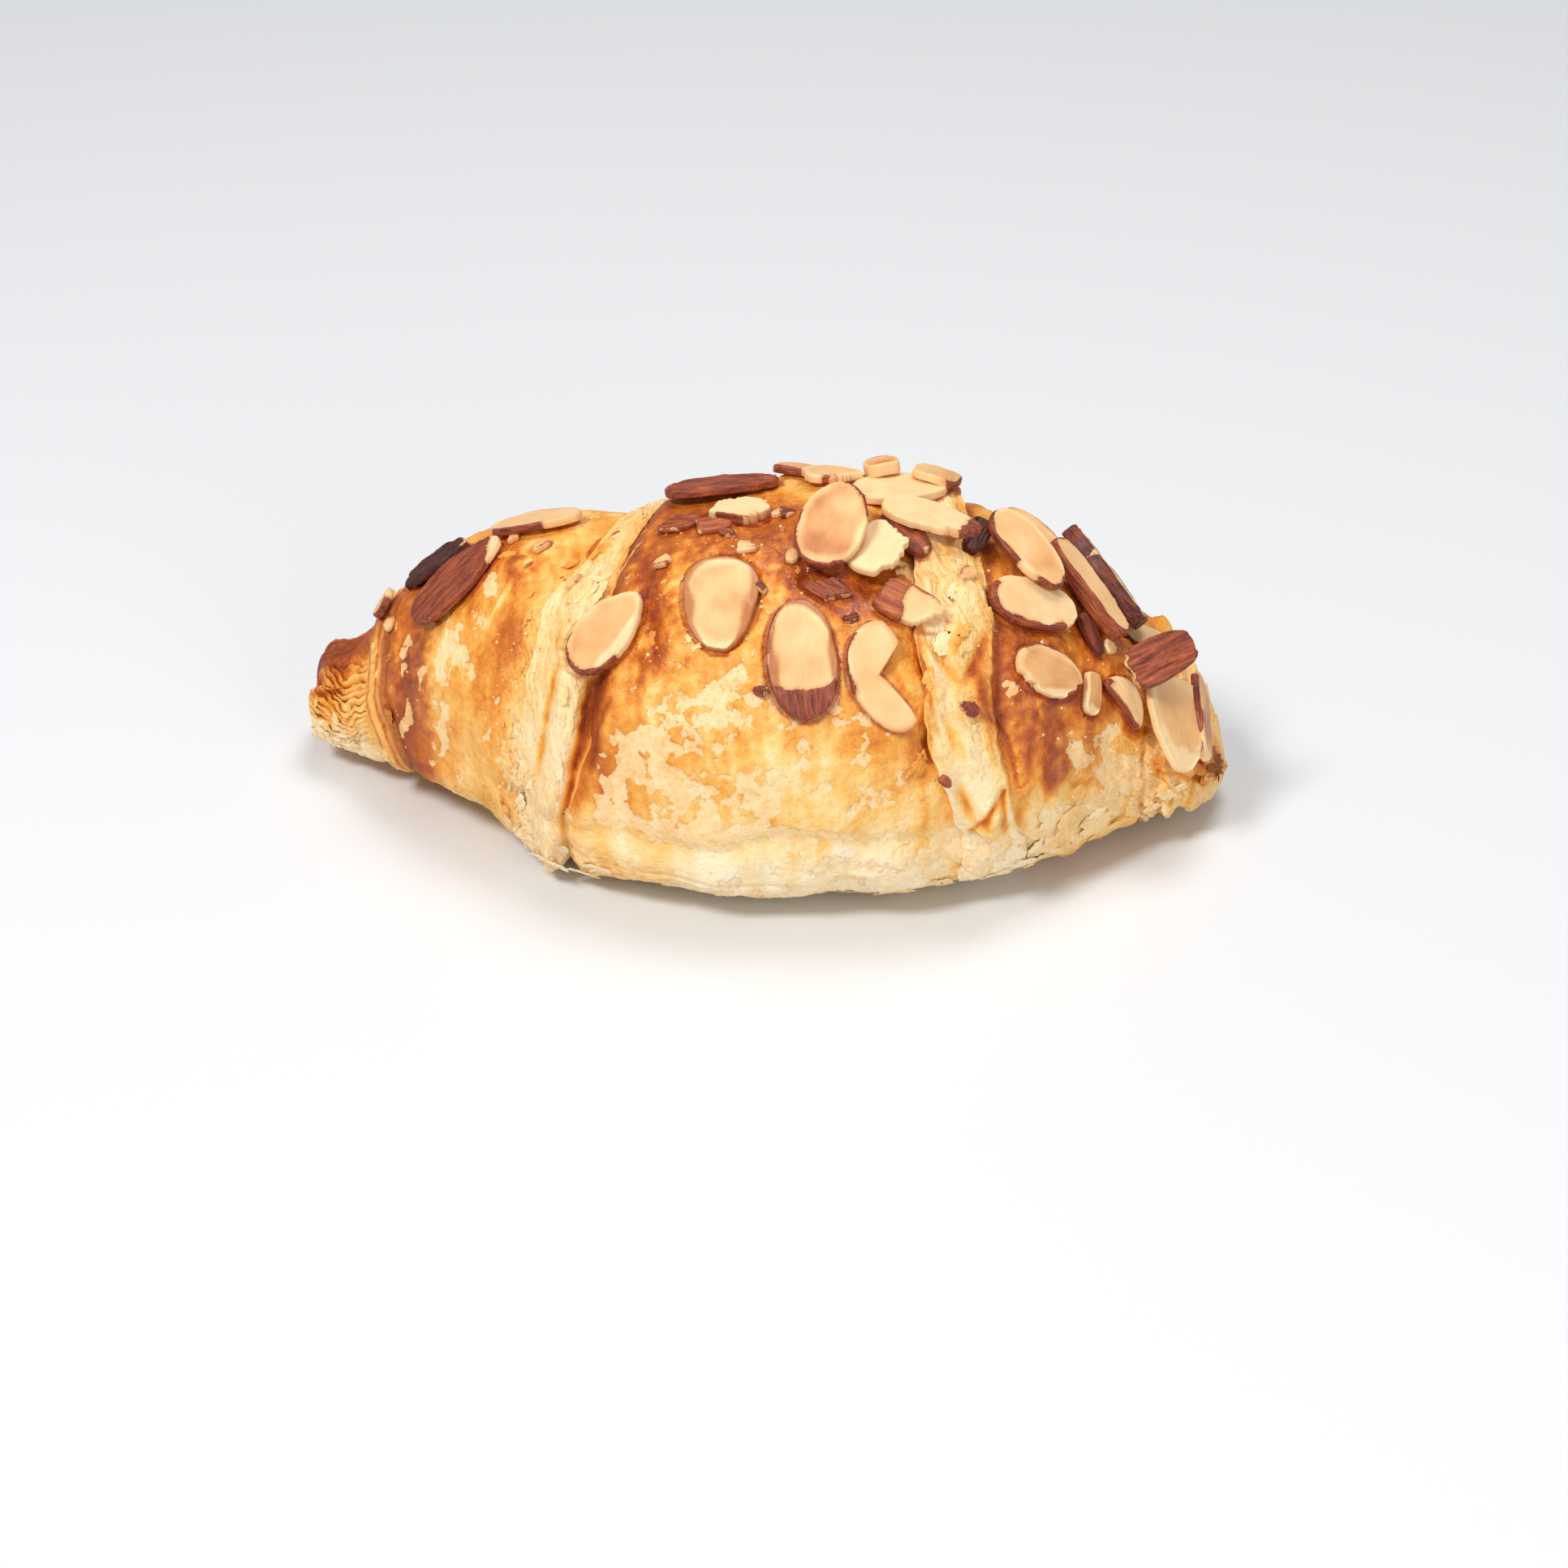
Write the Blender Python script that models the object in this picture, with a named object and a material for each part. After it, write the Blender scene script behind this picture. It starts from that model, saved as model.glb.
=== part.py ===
"""Almond croissant with sliced almonds, at its real size.

Metres, +Z up. The roll lies along X, its convex side faces -Y, and it rests on z = 0
with the origin in the middle of its outline. Driving sizes below are in millimetres.

A place on the roll is given by x, the distance along it, and by an angle round it:
0 degrees faces -Y, 90 is the crest, 180 faces +Y and -90 is the underside.
"""
from dataclasses import dataclass

import bpy
import numpy as np

MM = 0.001
ORIGIN_SHIFT = np.array([2.36, 2.86, 0.0])   # brings the middle of the outline to x = y = 0

# ---------------------------------------------------------------- the roll's plain form

STATION_X = (-89.5, -80, -70, -52, -43, -30, -8, 22, 47, 63, 77, 83)
STATIONS = {
    "middle": (16, 14, 12, 7.5, 4, 0, -4, -2, 2, 7.5, 10, 12),       # y of the centre line
    "base": (5.0, 3.6, 3.2, 3.0, 0.0, -0.6, -0.8, -0.8, -0.4, 2.0, 2.4, 3.0),
    "crest": (19, 22.5, 33, 45.5, 49.5, 53, 61, 61.5, 51, 36.5, 24, 11),
    "front": (8.5, 12.5, 18.8, 28.0, 33.5, 38.5, 40, 40.5, 33.5, 23, 15, 5.5),
    "back": (8.0, 12.5, 20, 29.5, 33, 38, 40.5, 41, 32.5, 23.5, 15, 5.5),
}
LEFT_END, RIGHT_END = STATION_X[0], STATION_X[-1]
CENTRE_HEIGHT = 0.40        # of the way from the base to the crest
UPPER_POWER = 2.15          # roundness of the section above its centre, and below it
LOWER_POWER = 2.6
END_ROUND = 3.5             # length over which each end closes
END_POWER = 2.2
END_FADE = 9.0              # length over which the relief fades towards an end
END_RELIEF = 0.35           # share of the relief that is left there

# ---------------------------------------------------------------- the rolled-up layers

# Each seam is where one turn of the dough ends on the next. Its x is given at these angles.
SEAM_ANGLES = (-90, -15, 25, 60, 95, 180, 270)
SEAMS = {
    "collar left": (-66, -71, -75, -75, -74.5, -73, -66),
    "collar right": (-60, -65, -70, -70.6, -70, -68, -60),
    "left band left": (-40, -42, -41, -38, -30, -24, -40),
    "left band right": (-30, -32.5, -27.5, -26.5, -23, -14, -30),
    "right band left": (34, 37, 30.3, 27, 24, 12, 34),
    "right band right": (44, 48, 42, 40, 35, 22, 44),
    "right collar": (66, 67.5, 67.5, 71.5, 73, 70, 66),
}


@dataclass
class Zone:
    """The crust between two seams. Heights stand out of the plain form."""
    name: str
    columns: int                # rows of vertices across it
    raised: float = 0.0         # height of the whole zone
    pillow: float = 0.0         # extra height of its middle
    from_left: tuple = ()       # ridges: distance from the left seam, half width, height
    from_right: tuple = ()      # ridges: distance from the right seam, half width, height
    across: tuple = ()          # ridges: share of the zone's width, half width, height
    waves: tuple = (0.0, 0.0)   # half waves across the zone, and their height
    crest_height: float = 1.0   # share of the relief that is left over the crest


ZONES = (
    Zone("left tip", 8, from_right=((0, 3.0, -1.2),)),
    Zone("collar of two strips", 3, raised=1.2, from_right=((0, 0.8, -0.8),),
         waves=(3.0, 0.5)),
    Zone("left segment", 12, pillow=1.7, from_left=((1.5, 2.0, 0.9),),
         from_right=((0, 4.0, -0.8),)),
    Zone("left band", 8, across=((0.10, 0.15, -0.6), (0.56, 0.20, 2.2), (0.93, 0.09, -1.7)),
         crest_height=0.4),
    Zone("outermost turn", 19, pillow=1.5, from_left=((3.0, 2.5, 0.9), (0, 1.3, -0.8)),
         from_right=((0, 1.6, -0.9),)),
    Zone("right band", 6, raised=0.9, across=((0.85, 0.30, 0.8),), waves=(4.0, 0.5)),
    Zone("right segment", 10, pillow=1.3, from_left=((0, 3.0, -1.4),), waves=(7.0, 0.4)),
    Zone("crumbly right end", 9, from_left=((0, 1.5, -1.1),), waves=(8.0, 0.9)),
)
PILLOW_POWER = 0.7          # how square the pillows are
CREST_START, CREST_END = 45, 85         # angles between which crest_height sets in
FIRST_ROW, LAST_ROW = 0.03, 0.97        # shares of the end zones where the end caps begin
END_CAPS = (0.6, 2.0)       # how far the middle of the left and right end stands out
FRONT_ANGLES = (-40, 152, 46)      # the side that shows is divided finely: from, to, steps
REAR_STEPS = 17

TIP_LOBES = ((82, 28, 1.6), (-18, 24, 1.3))      # angle, half width in degrees, height
TIP_NOTCH = (36, 13, 3.2)   # between the lobes: angle, half width, depth into the end
TIP_LENGTH = 13.0

FOOT_CREASE = -9.0          # angle of the crease above the squashed foot
FOOT_CREASE_DEPTH, FOOT_CREASE_HALF = 1.1, 3.5
FOOT_BULGE, FOOT_BULGE_BELOW, FOOT_BULGE_HALF = 1.7, 17, 9.0
FOOT_SPAN = (-46.0, 47.0)   # the stretch of the roll that has the foot
FOOT_FADE = 6.0

# Slow waves of the crust: height, wavelength / 2 pi along x, waves round, and a bend
WAVES = ((0.55, 6.1, 5.0, 17.0), (0.45, 3.7, 9.0, -8.0), (0.50, 11.0, 3.0, 40.0))

# Two folds of loose crust: x, half width, angle, half width, height
KNOB = (43.0, 4.5, 2.0, 10.0, 3.0)          # folded flap at the foot of the right band
CURL = (69.5, 5.5, 112.0, 9.0, 2.6)         # curled crust behind the right-hand almonds

UNDERSIDE_CALM = 0.75       # share of the relief that the underside loses

# ---------------------------------------------------------------- the almonds

BODY_GAP = 0.45             # clearance between the crust and a slice
PRESS_MARGIN = 3.2          # the crust is pressed down this far round a slice
PRESS_SLOPE = 1.0           # how steeply the crust rises again beyond that
PRESS_REACH = 9.2           # crust farther out than this from a slice is left alone,
PRESS_OVER, PRESS_BELOW = 9.0, 14.0     # and so is crust this far over or below it
SLICE_THICKNESS = 1.5
SLICE_STEPS = 9
ROW_END = 0.985             # the end rows of a slice, where its outline is cut square
CHIP_STEPS = 4


@dataclass
class Slice:
    """A slice of almond: where it lies on the roll, how it is turned, and its outline."""
    name: str
    x: float
    angle: float
    spin: float             # long axis, from +X towards the crest and the back
    length: float
    width: float
    lift: float = 1.1       # middle of the slice above the plain form
    pitch: float = 0.0      # far end raised
    roll: float = 0.0       # left edge raised
    thickness: float = SLICE_THICKNESS
    bow: float = 0.3        # both ends bent down by this much
    point: float = 0.12     # how much narrower the far end is
    sweep: float = 0.0      # both ends swung sideways, as in a crescent
    bite: float = 0.0       # depth broken out of the right edge
    blunt: float = 2.2      # squareness of the outline
    skin: bool = False      # its brown skin faces out


SLICES = (
    Slice("almond_tip", -71.2, 82, 92, 6.8, 5.5, lift=2.4, roll=-12),
    Slice("almond_left_rear", -62.6, 98, 8, 15.5, 10.0, lift=1.7, pitch=3, skin=True),
    Slice("almond_left_leaf", -56.0, 70, 47, 21.5, 12.5, lift=2.3, skin=True),
    Slice("almond_left_ridge", -43.4, 101, 0, 19.0, 11.0, lift=2.3, roll=-6),
    Slice("almond_front_left", -25.2, 46, 54, 17.6, 12.3, lift=1.9, blunt=2.0),
    Slice("almond_front_glazed", -6.0, 53.5, -88, 19.2, 13.0, lift=0.8, point=0.2, bow=0.8),
    Slice("almond_ridge_leaf", -9.4, 106, 12, 20.8, 10.0, lift=1.7, roll=-2, skin=True),
    Slice("almond_ridge_chunk", -5.2, 89, -16, 11.5, 8.0, lift=1.4, bow=0.1, blunt=4.0,
          thickness=2.0, point=0.0),
    Slice("almond_crown_oval", 12.2, 71, 72, 17.5, 12.3, lift=6.8, pitch=18, blunt=2.1),
    Slice("almond_crown_broken", 20.4, 68, 70, 13.5, 10.0, lift=3.5, blunt=2.8),
    Slice("almond_crown_peel", 24.0, 77.5, -58, 13.0, 6.5, lift=1.4, skin=True, bow=0.6),
    Slice("almond_crown_pale", 22.4, 100, 20, 18.5, 11.0, lift=2.4, roll=4),
    Slice("almond_crown_split", 27.8, 81, -26, 19.0, 9.5, lift=3.8, pitch=9, bow=0.2),
    Slice("almond_crown_end", 35.8, 85, -106, 8.5, 4.5, lift=1.7, pitch=-22, skin=True,
          blunt=3.0),
    Slice("almond_top_left", 3.9, 114, -20, 10.2, 6.5, lift=3.5, pitch=-6),
    Slice("almond_top_middle", 10.4, 104, -14, 10.0, 7.0, lift=4.9, blunt=2.8),
    Slice("almond_top_knob", 18.8, 108, 12, 7.0, 6.0, lift=5.8, pitch=8, thickness=2.2,
          blunt=3.0, point=0.0),
    Slice("almond_top_right", 27.6, 106, 14, 7.0, 6.5, lift=5.4, blunt=3.5, point=0.0),
    Slice("almond_crown_half", 26.0, 53.0, -20, 14.5, 7.8, lift=1.3, blunt=2.4),
    Slice("almond_peel_scraps", 12.3, 57, -38, 11.0, 5.0, lift=1.3, skin=True, blunt=2.6,
          thickness=1.2),
    Slice("almond_front_oval", 8.7, 38.5, 96, 21.3, 12.3, lift=1.6, point=0.05, bow=0.9),
    Slice("almond_front_crescent", 22.6, 34, 110, 20.0, 10.5, lift=1.7, sweep=-1.4, bite=5.0,
          bow=0.7, point=-0.1),
    Slice("almond_right_oval", 43.2, 82, -41, 18.2, 10.2, lift=4.6, pitch=-5, roll=12),
    Slice("almond_right_half", 46.3, 65, 13, 19.0, 11.0, lift=1.5, point=0.0),
    Slice("almond_right_rear", 44.8, 110, -48, 14.0, 6.0, lift=2.0, roll=20),
    Slice("almond_right_long", 54.0, 82.5, -49, 21.5, 7.0, lift=3.4, pitch=2, roll=-16,
          thickness=3.0, skin=True, blunt=2.8),
    Slice("almond_right_stand", 56.4, 98, -45, 22.5, 8.0, lift=4.2, roll=-14, thickness=3.0,
          skin=True, blunt=3.0),
    Slice("almond_right_chip", 56.3, 64, -57, 8.6, 3.4, lift=1.3, skin=True, bow=0.1,
          blunt=2.8),
    Slice("almond_right_toasted", 49.7, 43, -8, 15.5, 9.0, lift=1.5),
    Slice("almond_end_pale", 65.9, 82, 14, 9.0, 6.0, lift=2.0, pitch=14),
    Slice("almond_end_leaf", 65.1, 57.5, 38, 15.5, 8.5, lift=7.3, pitch=26, skin=True,
          blunt=2.8),
    Slice("almond_end_chip", 57.0, 39.5, -95, 8.0, 4.0, lift=1.4, blunt=3.5, point=0.0),
    Slice("almond_end_curl", 62.8, 40.6, -36, 11.4, 5.5, lift=1.7, sweep=-2.0),
    Slice("almond_end_large", 72.0, 36, -82, 18.0, 11.0, lift=2.3, point=0.3, pitch=9,
          roll=-6),
    Slice("almond_end_edge", 76.2, 48, -83, 17.0, 8.0, lift=3.2, roll=-34),
)

# Small chips that are fused to the crust: x, angle, spin, length, width
CHIPS = (
    (-14.9, 84, -12, 6.5, 3.4),
    (-16.0, 66, 40, 4.2, 2.6),
    (-2.6, 70, 10, 4.8, 3.0),
    (3.4, 84, -20, 4.6, 2.6),
    (-40.5, 84, 70, 5.0, 2.2),
    (36.9, 29, -40, 4.0, 2.8),
    (33.4, 10, -34, 3.0, 2.0),
    (-34.0, 68, 60, 4.0, 2.2),
    (34.5, 66, 30, 4.4, 2.8),
    (60.5, 86, 50, 4.4, 3.4),
)
CHIP_THICKNESS = 2.6        # less than half of it stands out of the crust
CHIP_SINK = 0.25            # middle of a chip under the crust's surface


# ---------------------------------------------------------------- smooth curves

def smooth_through(xs, ys, x):
    """A smooth curve through points, with no overshoot between them."""
    xs = np.asarray(xs, float)
    ys = np.asarray(ys, float)
    x = np.clip(x, xs[0], xs[-1])
    step = np.diff(xs)
    slope = np.diff(ys) / step
    tangent = np.zeros_like(ys)
    tangent[0] = slope[0]
    tangent[-1] = slope[-1]
    for i in range(1, len(xs) - 1):
        before, after = slope[i - 1], slope[i]
        if before * after > 0:
            w_before = 2 * step[i] + step[i - 1]
            w_after = step[i] + 2 * step[i - 1]
            tangent[i] = (w_before + w_after) / (w_before / before + w_after / after)
    k = np.clip(np.searchsorted(xs, x, side="right") - 1, 0, len(step) - 1)
    t = (x - xs[k]) / step[k]
    return ((1 + 2 * t) * (1 - t) ** 2 * ys[k] + t * (1 - t) ** 2 * step[k] * tangent[k]
            + t * t * (3 - 2 * t) * ys[k + 1] + t * t * (t - 1) * step[k] * tangent[k + 1])


def bump(value, centre, half_width):
    """A smooth hill, 1 at its centre."""
    return np.exp(-((value - centre) / half_width) ** 2)


def ease(value, start, end):
    """0 before start, 1 after end, and smooth between them."""
    t = np.clip((value - start) / (end - start), 0, 1)
    return t * t * (3 - 2 * t)


# ---------------------------------------------------------------- the roll's surface

def section(x):
    """The middle of the roll at x, and its reach to the front, back, up and down."""
    along = {name: smooth_through(STATION_X, values, x) for name, values in STATIONS.items()}
    centre_z = along["base"] + CENTRE_HEIGHT * (along["crest"] - along["base"])
    return (along["middle"], centre_z, along["front"], along["back"],
            along["crest"] - centre_z, centre_z - along["base"])


def plain_radius(x, angle):
    """Distance from the middle of the roll to its surface, without seams or relief."""
    _, _, front, back, up, down = section(x)
    cos, sin = np.cos(angle), np.sin(angle)
    across = np.where(cos > 0, front, back)
    tall = np.where(sin > 0, up, down)
    power = np.where(sin > 0, UPPER_POWER, LOWER_POWER)
    return ((np.abs(cos) / across) ** power + (np.abs(sin) / tall) ** power) ** (-1 / power)


def at_radius(x, angle, radius):
    middle, centre_z, *_ = section(x)
    return np.stack([x + 0 * angle, middle - radius * np.cos(angle),
                     centre_z + radius * np.sin(angle)], -1)


def unevenness(x, angle):
    """Slow waves that keep the crust from looking turned."""
    height = 0
    for number, (rise, length, round_count, bend) in enumerate(WAVES):
        along = np.sin(x / length + 1.3 * np.sin(angle * 2.0 + number))
        height = height + rise * along * np.sin(angle * round_count + x / bend + number)
    return height


def foot_relief(x, angle):
    """The pale foot that the dough's weight squashed out along the front."""
    degrees = np.degrees(angle)
    start, end = FOOT_SPAN
    along = ease(x, start - FOOT_FADE, start + FOOT_FADE)
    along = along * (1 - ease(x, end - FOOT_FADE, end + FOOT_FADE))
    line = FOOT_CREASE + 2.0 * np.sin(x / 9.0) + 1.2 * np.sin(x / 4.3)
    crease = FOOT_CREASE_DEPTH * bump(degrees, line, FOOT_CREASE_HALF)
    bulge = FOOT_BULGE * bump(degrees, FOOT_CREASE - FOOT_BULGE_BELOW, FOOT_BULGE_HALF)
    return along * (bulge - crease)


def zone_relief(zone, share, width, angle):
    """Height of a zone's surface over the plain form, at a share of the zone's width."""
    middle = np.sin(np.pi * np.clip(share, 0, 1)) ** PILLOW_POWER
    relief = zone.raised + zone.pillow * middle
    for place, half_width, height in zone.from_left:
        relief = relief + height * bump(share * width, place, half_width)
    for place, half_width, height in zone.from_right:
        relief = relief + height * bump((1 - share) * width, place, half_width)
    for place, half_width, height in zone.across:
        relief = relief + height * bump(share, place, half_width)
    count, height = zone.waves
    relief = relief + height * middle * np.sin(share * count * np.pi + np.sin(angle * 3.0))
    over_crest = ease(np.degrees(angle), CREST_START, CREST_END)
    return relief * (1 - (1 - zone.crest_height) * over_crest)


def tip_relief(x, angle):
    """The two lobes of the rolled left tip."""
    near_end = 1 - ease(x, LEFT_END, LEFT_END + TIP_LENGTH)
    degrees = np.degrees(angle)
    return near_end * sum(height * bump(degrees, place, half_width)
                          for place, half_width, height in TIP_LOBES)


def fold_relief(fold, x, angle):
    place, half_width, direction, half_angle, height = fold
    return height * bump(x, place, half_width) * bump(np.degrees(angle), direction, half_angle)


def seam_lines(angle):
    """x of every seam at an angle, from the left end to the right end."""
    degrees = np.degrees(angle)
    lines = [smooth_through(SEAM_ANGLES, values, degrees) for values in SEAMS.values()]
    notch, half_width, depth = TIP_NOTCH
    left = LEFT_END + depth * bump(degrees, notch, half_width)
    return [left, *lines, RIGHT_END + 0 * angle]


def surface(number, share, angle):
    """A point of the crust, by the zone's number, share of the zone's width and angle."""
    lines = seam_lines(angle)
    width = lines[number + 1] - lines[number]
    x = lines[number] + share * width
    relief = zone_relief(ZONES[number], share, width, angle) + unevenness(x, angle)
    relief = relief + tip_relief(x, angle) + foot_relief(x, angle)
    relief = relief + fold_relief(KNOB, x, angle) + fold_relief(CURL, x, angle)
    end = np.minimum(x - lines[0], lines[-1] - x)
    closing = (1 - np.clip(1 - end / END_ROUND, 0, 1) ** END_POWER) ** (1 / END_POWER)
    strength = END_RELIEF + (1 - END_RELIEF) * ease(end, 0, END_FADE)
    upright = 1 - UNDERSIDE_CALM * ease(-np.sin(angle), 0.5, 0.95)
    radius = plain_radius(x, angle) + relief * strength * upright
    points = at_radius(x, angle, radius * closing)
    points[..., 2] = np.maximum(points[..., 2], 0.0)
    return points


def ring_angles():
    start, end, steps = FRONT_ANGLES
    front = np.linspace(start, end, steps + 1)
    rear = np.linspace(end, start + 360, REAR_STEPS + 1)[1:-1]
    degrees = np.concatenate([front, rear])
    return np.radians((degrees + 90) % 360 - 90)


def crust_rings():
    """Rings of points from the left end to the right end, without the two end points."""
    angle = ring_angles()
    rings = [surface(0, FIRST_ROW, angle)]
    for number, zone in enumerate(ZONES):
        first = 1 if number == 0 else 0
        for column in range(first, zone.columns + first):
            rings.append(surface(number, column / (zone.columns + first), angle))
    rings.append(surface(len(ZONES) - 1, LAST_ROW, angle))
    return np.array(rings)


# ---------------------------------------------------------------- where a slice lies

def plain_point(x, angle):
    x, angle = np.array(x), np.array(angle)
    return at_radius(x, angle, plain_radius(x, angle))


def plain_frame(x, angle, step=0.5, turn=0.01):
    """A point of the plain form, the directions along and round the roll, and out of it."""
    point = plain_point(x, angle)
    along = plain_point(x + step, angle) - plain_point(x - step, angle)
    around = plain_point(x, angle + turn) - plain_point(x, angle - turn)
    along /= np.linalg.norm(along)
    out = np.cross(along, around)
    out /= np.linalg.norm(out)
    return point, along, np.cross(out, along), out


def slice_frame(item):
    """Centre of a slice, and its long, cross and outward directions."""
    point, along, around, out = plain_frame(item.x, np.radians(item.angle))
    centre = point + out * item.lift
    spin, pitch, roll = np.radians((item.spin, item.pitch, item.roll))
    long_way = along * np.cos(spin) + around * np.sin(spin)
    cross_way = np.cross(out, long_way)
    long_way, face = (long_way * np.cos(pitch) + out * np.sin(pitch),
                      out * np.cos(pitch) - long_way * np.sin(pitch))
    cross_way, face = (cross_way * np.cos(roll) + face * np.sin(roll),
                       face * np.cos(roll) - cross_way * np.sin(roll))
    return centre, long_way, cross_way, face


def slice_edges(item, s):
    """Left and right edge of a slice at s, which runs from -1 to 1 along it."""
    round_off = (1 - np.abs(s) ** item.blunt) ** (1 / item.blunt)
    half = item.width / 2 * round_off * (1 - item.point * s)
    middle = item.sweep * (s * s - 0.35)
    broken = item.bite * bump(s, 0.1, 0.45)
    return middle + half, middle - half + np.minimum(broken, 1.2 * half)


def sag(item, s):
    return -item.bow * (s * s - 0.3)


# ---------------------------------------------------------------- meshes

def make_material(name, colour, roughness):
    material = bpy.data.materials.new(name)
    material.use_nodes = True
    material.diffuse_color = (*colour, 1.0)
    shader = material.node_tree.nodes["Principled BSDF"]
    shader.inputs["Base Color"].default_value = (*colour, 1.0)
    shader.inputs["Roughness"].default_value = roughness
    shader.inputs["Metallic"].default_value = 0.0
    return material


def make_object(name, points, faces, material, smooth=True):
    mesh = bpy.data.meshes.new(name)
    mesh.from_pydata([tuple(p) for p in (np.asarray(points) + ORIGIN_SHIFT) * MM], [], faces)
    mesh.materials.append(material)
    mesh.validate()
    if smooth:
        mesh.shade_smooth()
    item = bpy.data.objects.new(name, mesh)
    bpy.context.scene.collection.objects.link(item)
    return item


def loft_faces(rings, around):
    """Quads between rings of points, and a fan of triangles to a point at each end."""
    faces = []
    for i in range(rings - 1):
        for j in range(around):
            k = (j + 1) % around
            faces.append((i * around + j, (i + 1) * around + j,
                          (i + 1) * around + k, i * around + k))
    first, last = rings * around, rings * around + 1
    for j in range(around):
        k = (j + 1) % around
        faces.append((first, j, k))
        faces.append((last, (rings - 1) * around + k, (rings - 1) * around + j))
    return faces


def press_under(points, item):
    """Crust under a slice moved down along the slice's own depth, clear of it."""
    centre, long_way, cross_way, face = slice_frame(item)
    offset = points - centre
    u, v, w = offset @ long_way, offset @ cross_way, offset @ face
    left, right = slice_edges(item, np.clip(u / (item.length / 2), -ROW_END, ROW_END))
    outside = np.maximum.reduce([np.abs(u) - item.length / 2, v - left, right - v, 0 * u])
    s = np.clip(u / (item.length / 2), -1, 1)
    underside = sag(item, s) - item.thickness / 2 - BODY_GAP
    limit = underside + PRESS_SLOPE * np.maximum(outside - PRESS_MARGIN, 0)
    near = (outside < PRESS_REACH) & (w < PRESS_OVER) & (w > -PRESS_BELOW)
    too_high = np.where(near, np.clip(w - limit, 0, None), 0)
    return points - too_high[..., None] * face


def make_crust(material):
    rings = crust_rings()
    for item in SLICES:
        rings = press_under(rings, item)
    rings[..., 2] = np.maximum(rings[..., 2], 0.0)
    count, around, _ = rings.shape
    left_cap, right_cap = END_CAPS
    ends = [rings[0].mean(axis=0) - np.array([left_cap, 0, 0]),
            rings[-1].mean(axis=0) + np.array([right_cap, 0, 0])]
    points = np.concatenate([rings.reshape(-1, 3), ends])
    return make_object("croissant", points, loft_faces(count, around), material), points


def slice_points(item, steps):
    """Top and underside of a slice as four rows of points along it."""
    centre, long_way, cross_way, face = slice_frame(item)
    s = np.sin(np.linspace(-1, 1, steps) * np.pi / 2) * ROW_END
    left, right = slice_edges(item, s)
    u = s * item.length / 2
    rows = []
    for edge, side in ((left, 1), (left, -1), (right, -1), (right, 1)):
        depth = sag(item, s) + side * item.thickness / 2
        rows.append(centre + u[:, None] * long_way + edge[:, None] * cross_way
                    + depth[:, None] * face)
    return np.stack(rows, axis=1)


def bar_faces(steps):
    """Faces of a closed bar of four rows of points, each with the given number of points."""
    faces = []
    for i in range(steps - 1):
        for j in range(4):
            k = (j + 1) % 4
            faces.append((i * 4 + j, (i + 1) * 4 + j, (i + 1) * 4 + k, i * 4 + k))
    last = (steps - 1) * 4
    faces.append((0, 1, 2, 3))
    faces.append((last + 3, last + 2, last + 1, last))
    return faces


def make_slice(item, material, steps=SLICE_STEPS):
    points = slice_points(item, steps).reshape(-1, 3)
    return make_object(item.name, points, bar_faces(steps), material, smooth=False)


def crust_height(crust_points, x, angle):
    """Height of the finished crust over the plain form, at a place on the roll."""
    point, _, _, out = plain_frame(x, np.radians(angle))
    offset = crust_points - point
    height = offset @ out
    aside = np.linalg.norm(offset - height[:, None] * out, axis=1)
    aside[np.abs(height) > PRESS_OVER] = np.inf
    return height[np.argmin(aside)]


def make_chip(number, row, crust_points, material):
    x, angle, spin, length, width = row
    lift = crust_height(crust_points, x, angle) - CHIP_SINK
    item = Slice(f"chip_{number}", x, angle, spin, length, width, lift=lift,
                 thickness=CHIP_THICKNESS, bow=0.0, point=0.1, blunt=3.0)
    return make_slice(item, material, CHIP_STEPS)


def fuse_chips(crust, crust_points, material):
    """The small chips become one solid with the crust."""
    collection = bpy.data.collections.new("chips")
    bpy.context.scene.collection.children.link(collection)
    for number, row in enumerate(CHIPS):
        chip = make_chip(number, row, crust_points, material)
        bpy.context.scene.collection.objects.unlink(chip)
        collection.objects.link(chip)
    union = crust.modifiers.new("chips", "BOOLEAN")
    union.operation = "UNION"
    union.solver = "EXACT"
    union.operand_type = "COLLECTION"
    union.collection = collection
    evaluated = crust.evaluated_get(bpy.context.evaluated_depsgraph_get())
    fused = bpy.data.meshes.new_from_object(evaluated)
    fused.name = "croissant"
    crust.modifiers.clear()
    crust.data = fused
    for chip in list(collection.objects):
        bpy.data.objects.remove(chip, do_unlink=True)
    bpy.data.collections.remove(collection)


def main():
    for item in list(bpy.data.objects):
        bpy.data.objects.remove(item, do_unlink=True)
    materials = {
        "crust": make_material("crust", (0.80, 0.42, 0.13), 0.45),
        "almond_flesh": make_material("almond_flesh", (0.93, 0.74, 0.47), 0.5),
        "almond_skin": make_material("almond_skin", (0.30, 0.09, 0.035), 0.6),
    }
    crust, points = make_crust(materials["crust"])
    fuse_chips(crust, points, materials["crust"])
    for item in SLICES:
        make_slice(item, materials["almond_skin" if item.skin else "almond_flesh"])


main()
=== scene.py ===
"""An almond croissant in soft studio light: its crust, flakes and sliced almonds.

The roll and its almonds are laid out in millimetres, with x along the roll and an angle
round it: 0 degrees faces the viewer, 90 is the crest and -90 is the underside.
"""
import itertools
from concurrent.futures import ThreadPoolExecutor
from dataclasses import dataclass

import bpy
import numpy as np
from mathutils import Matrix


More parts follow.
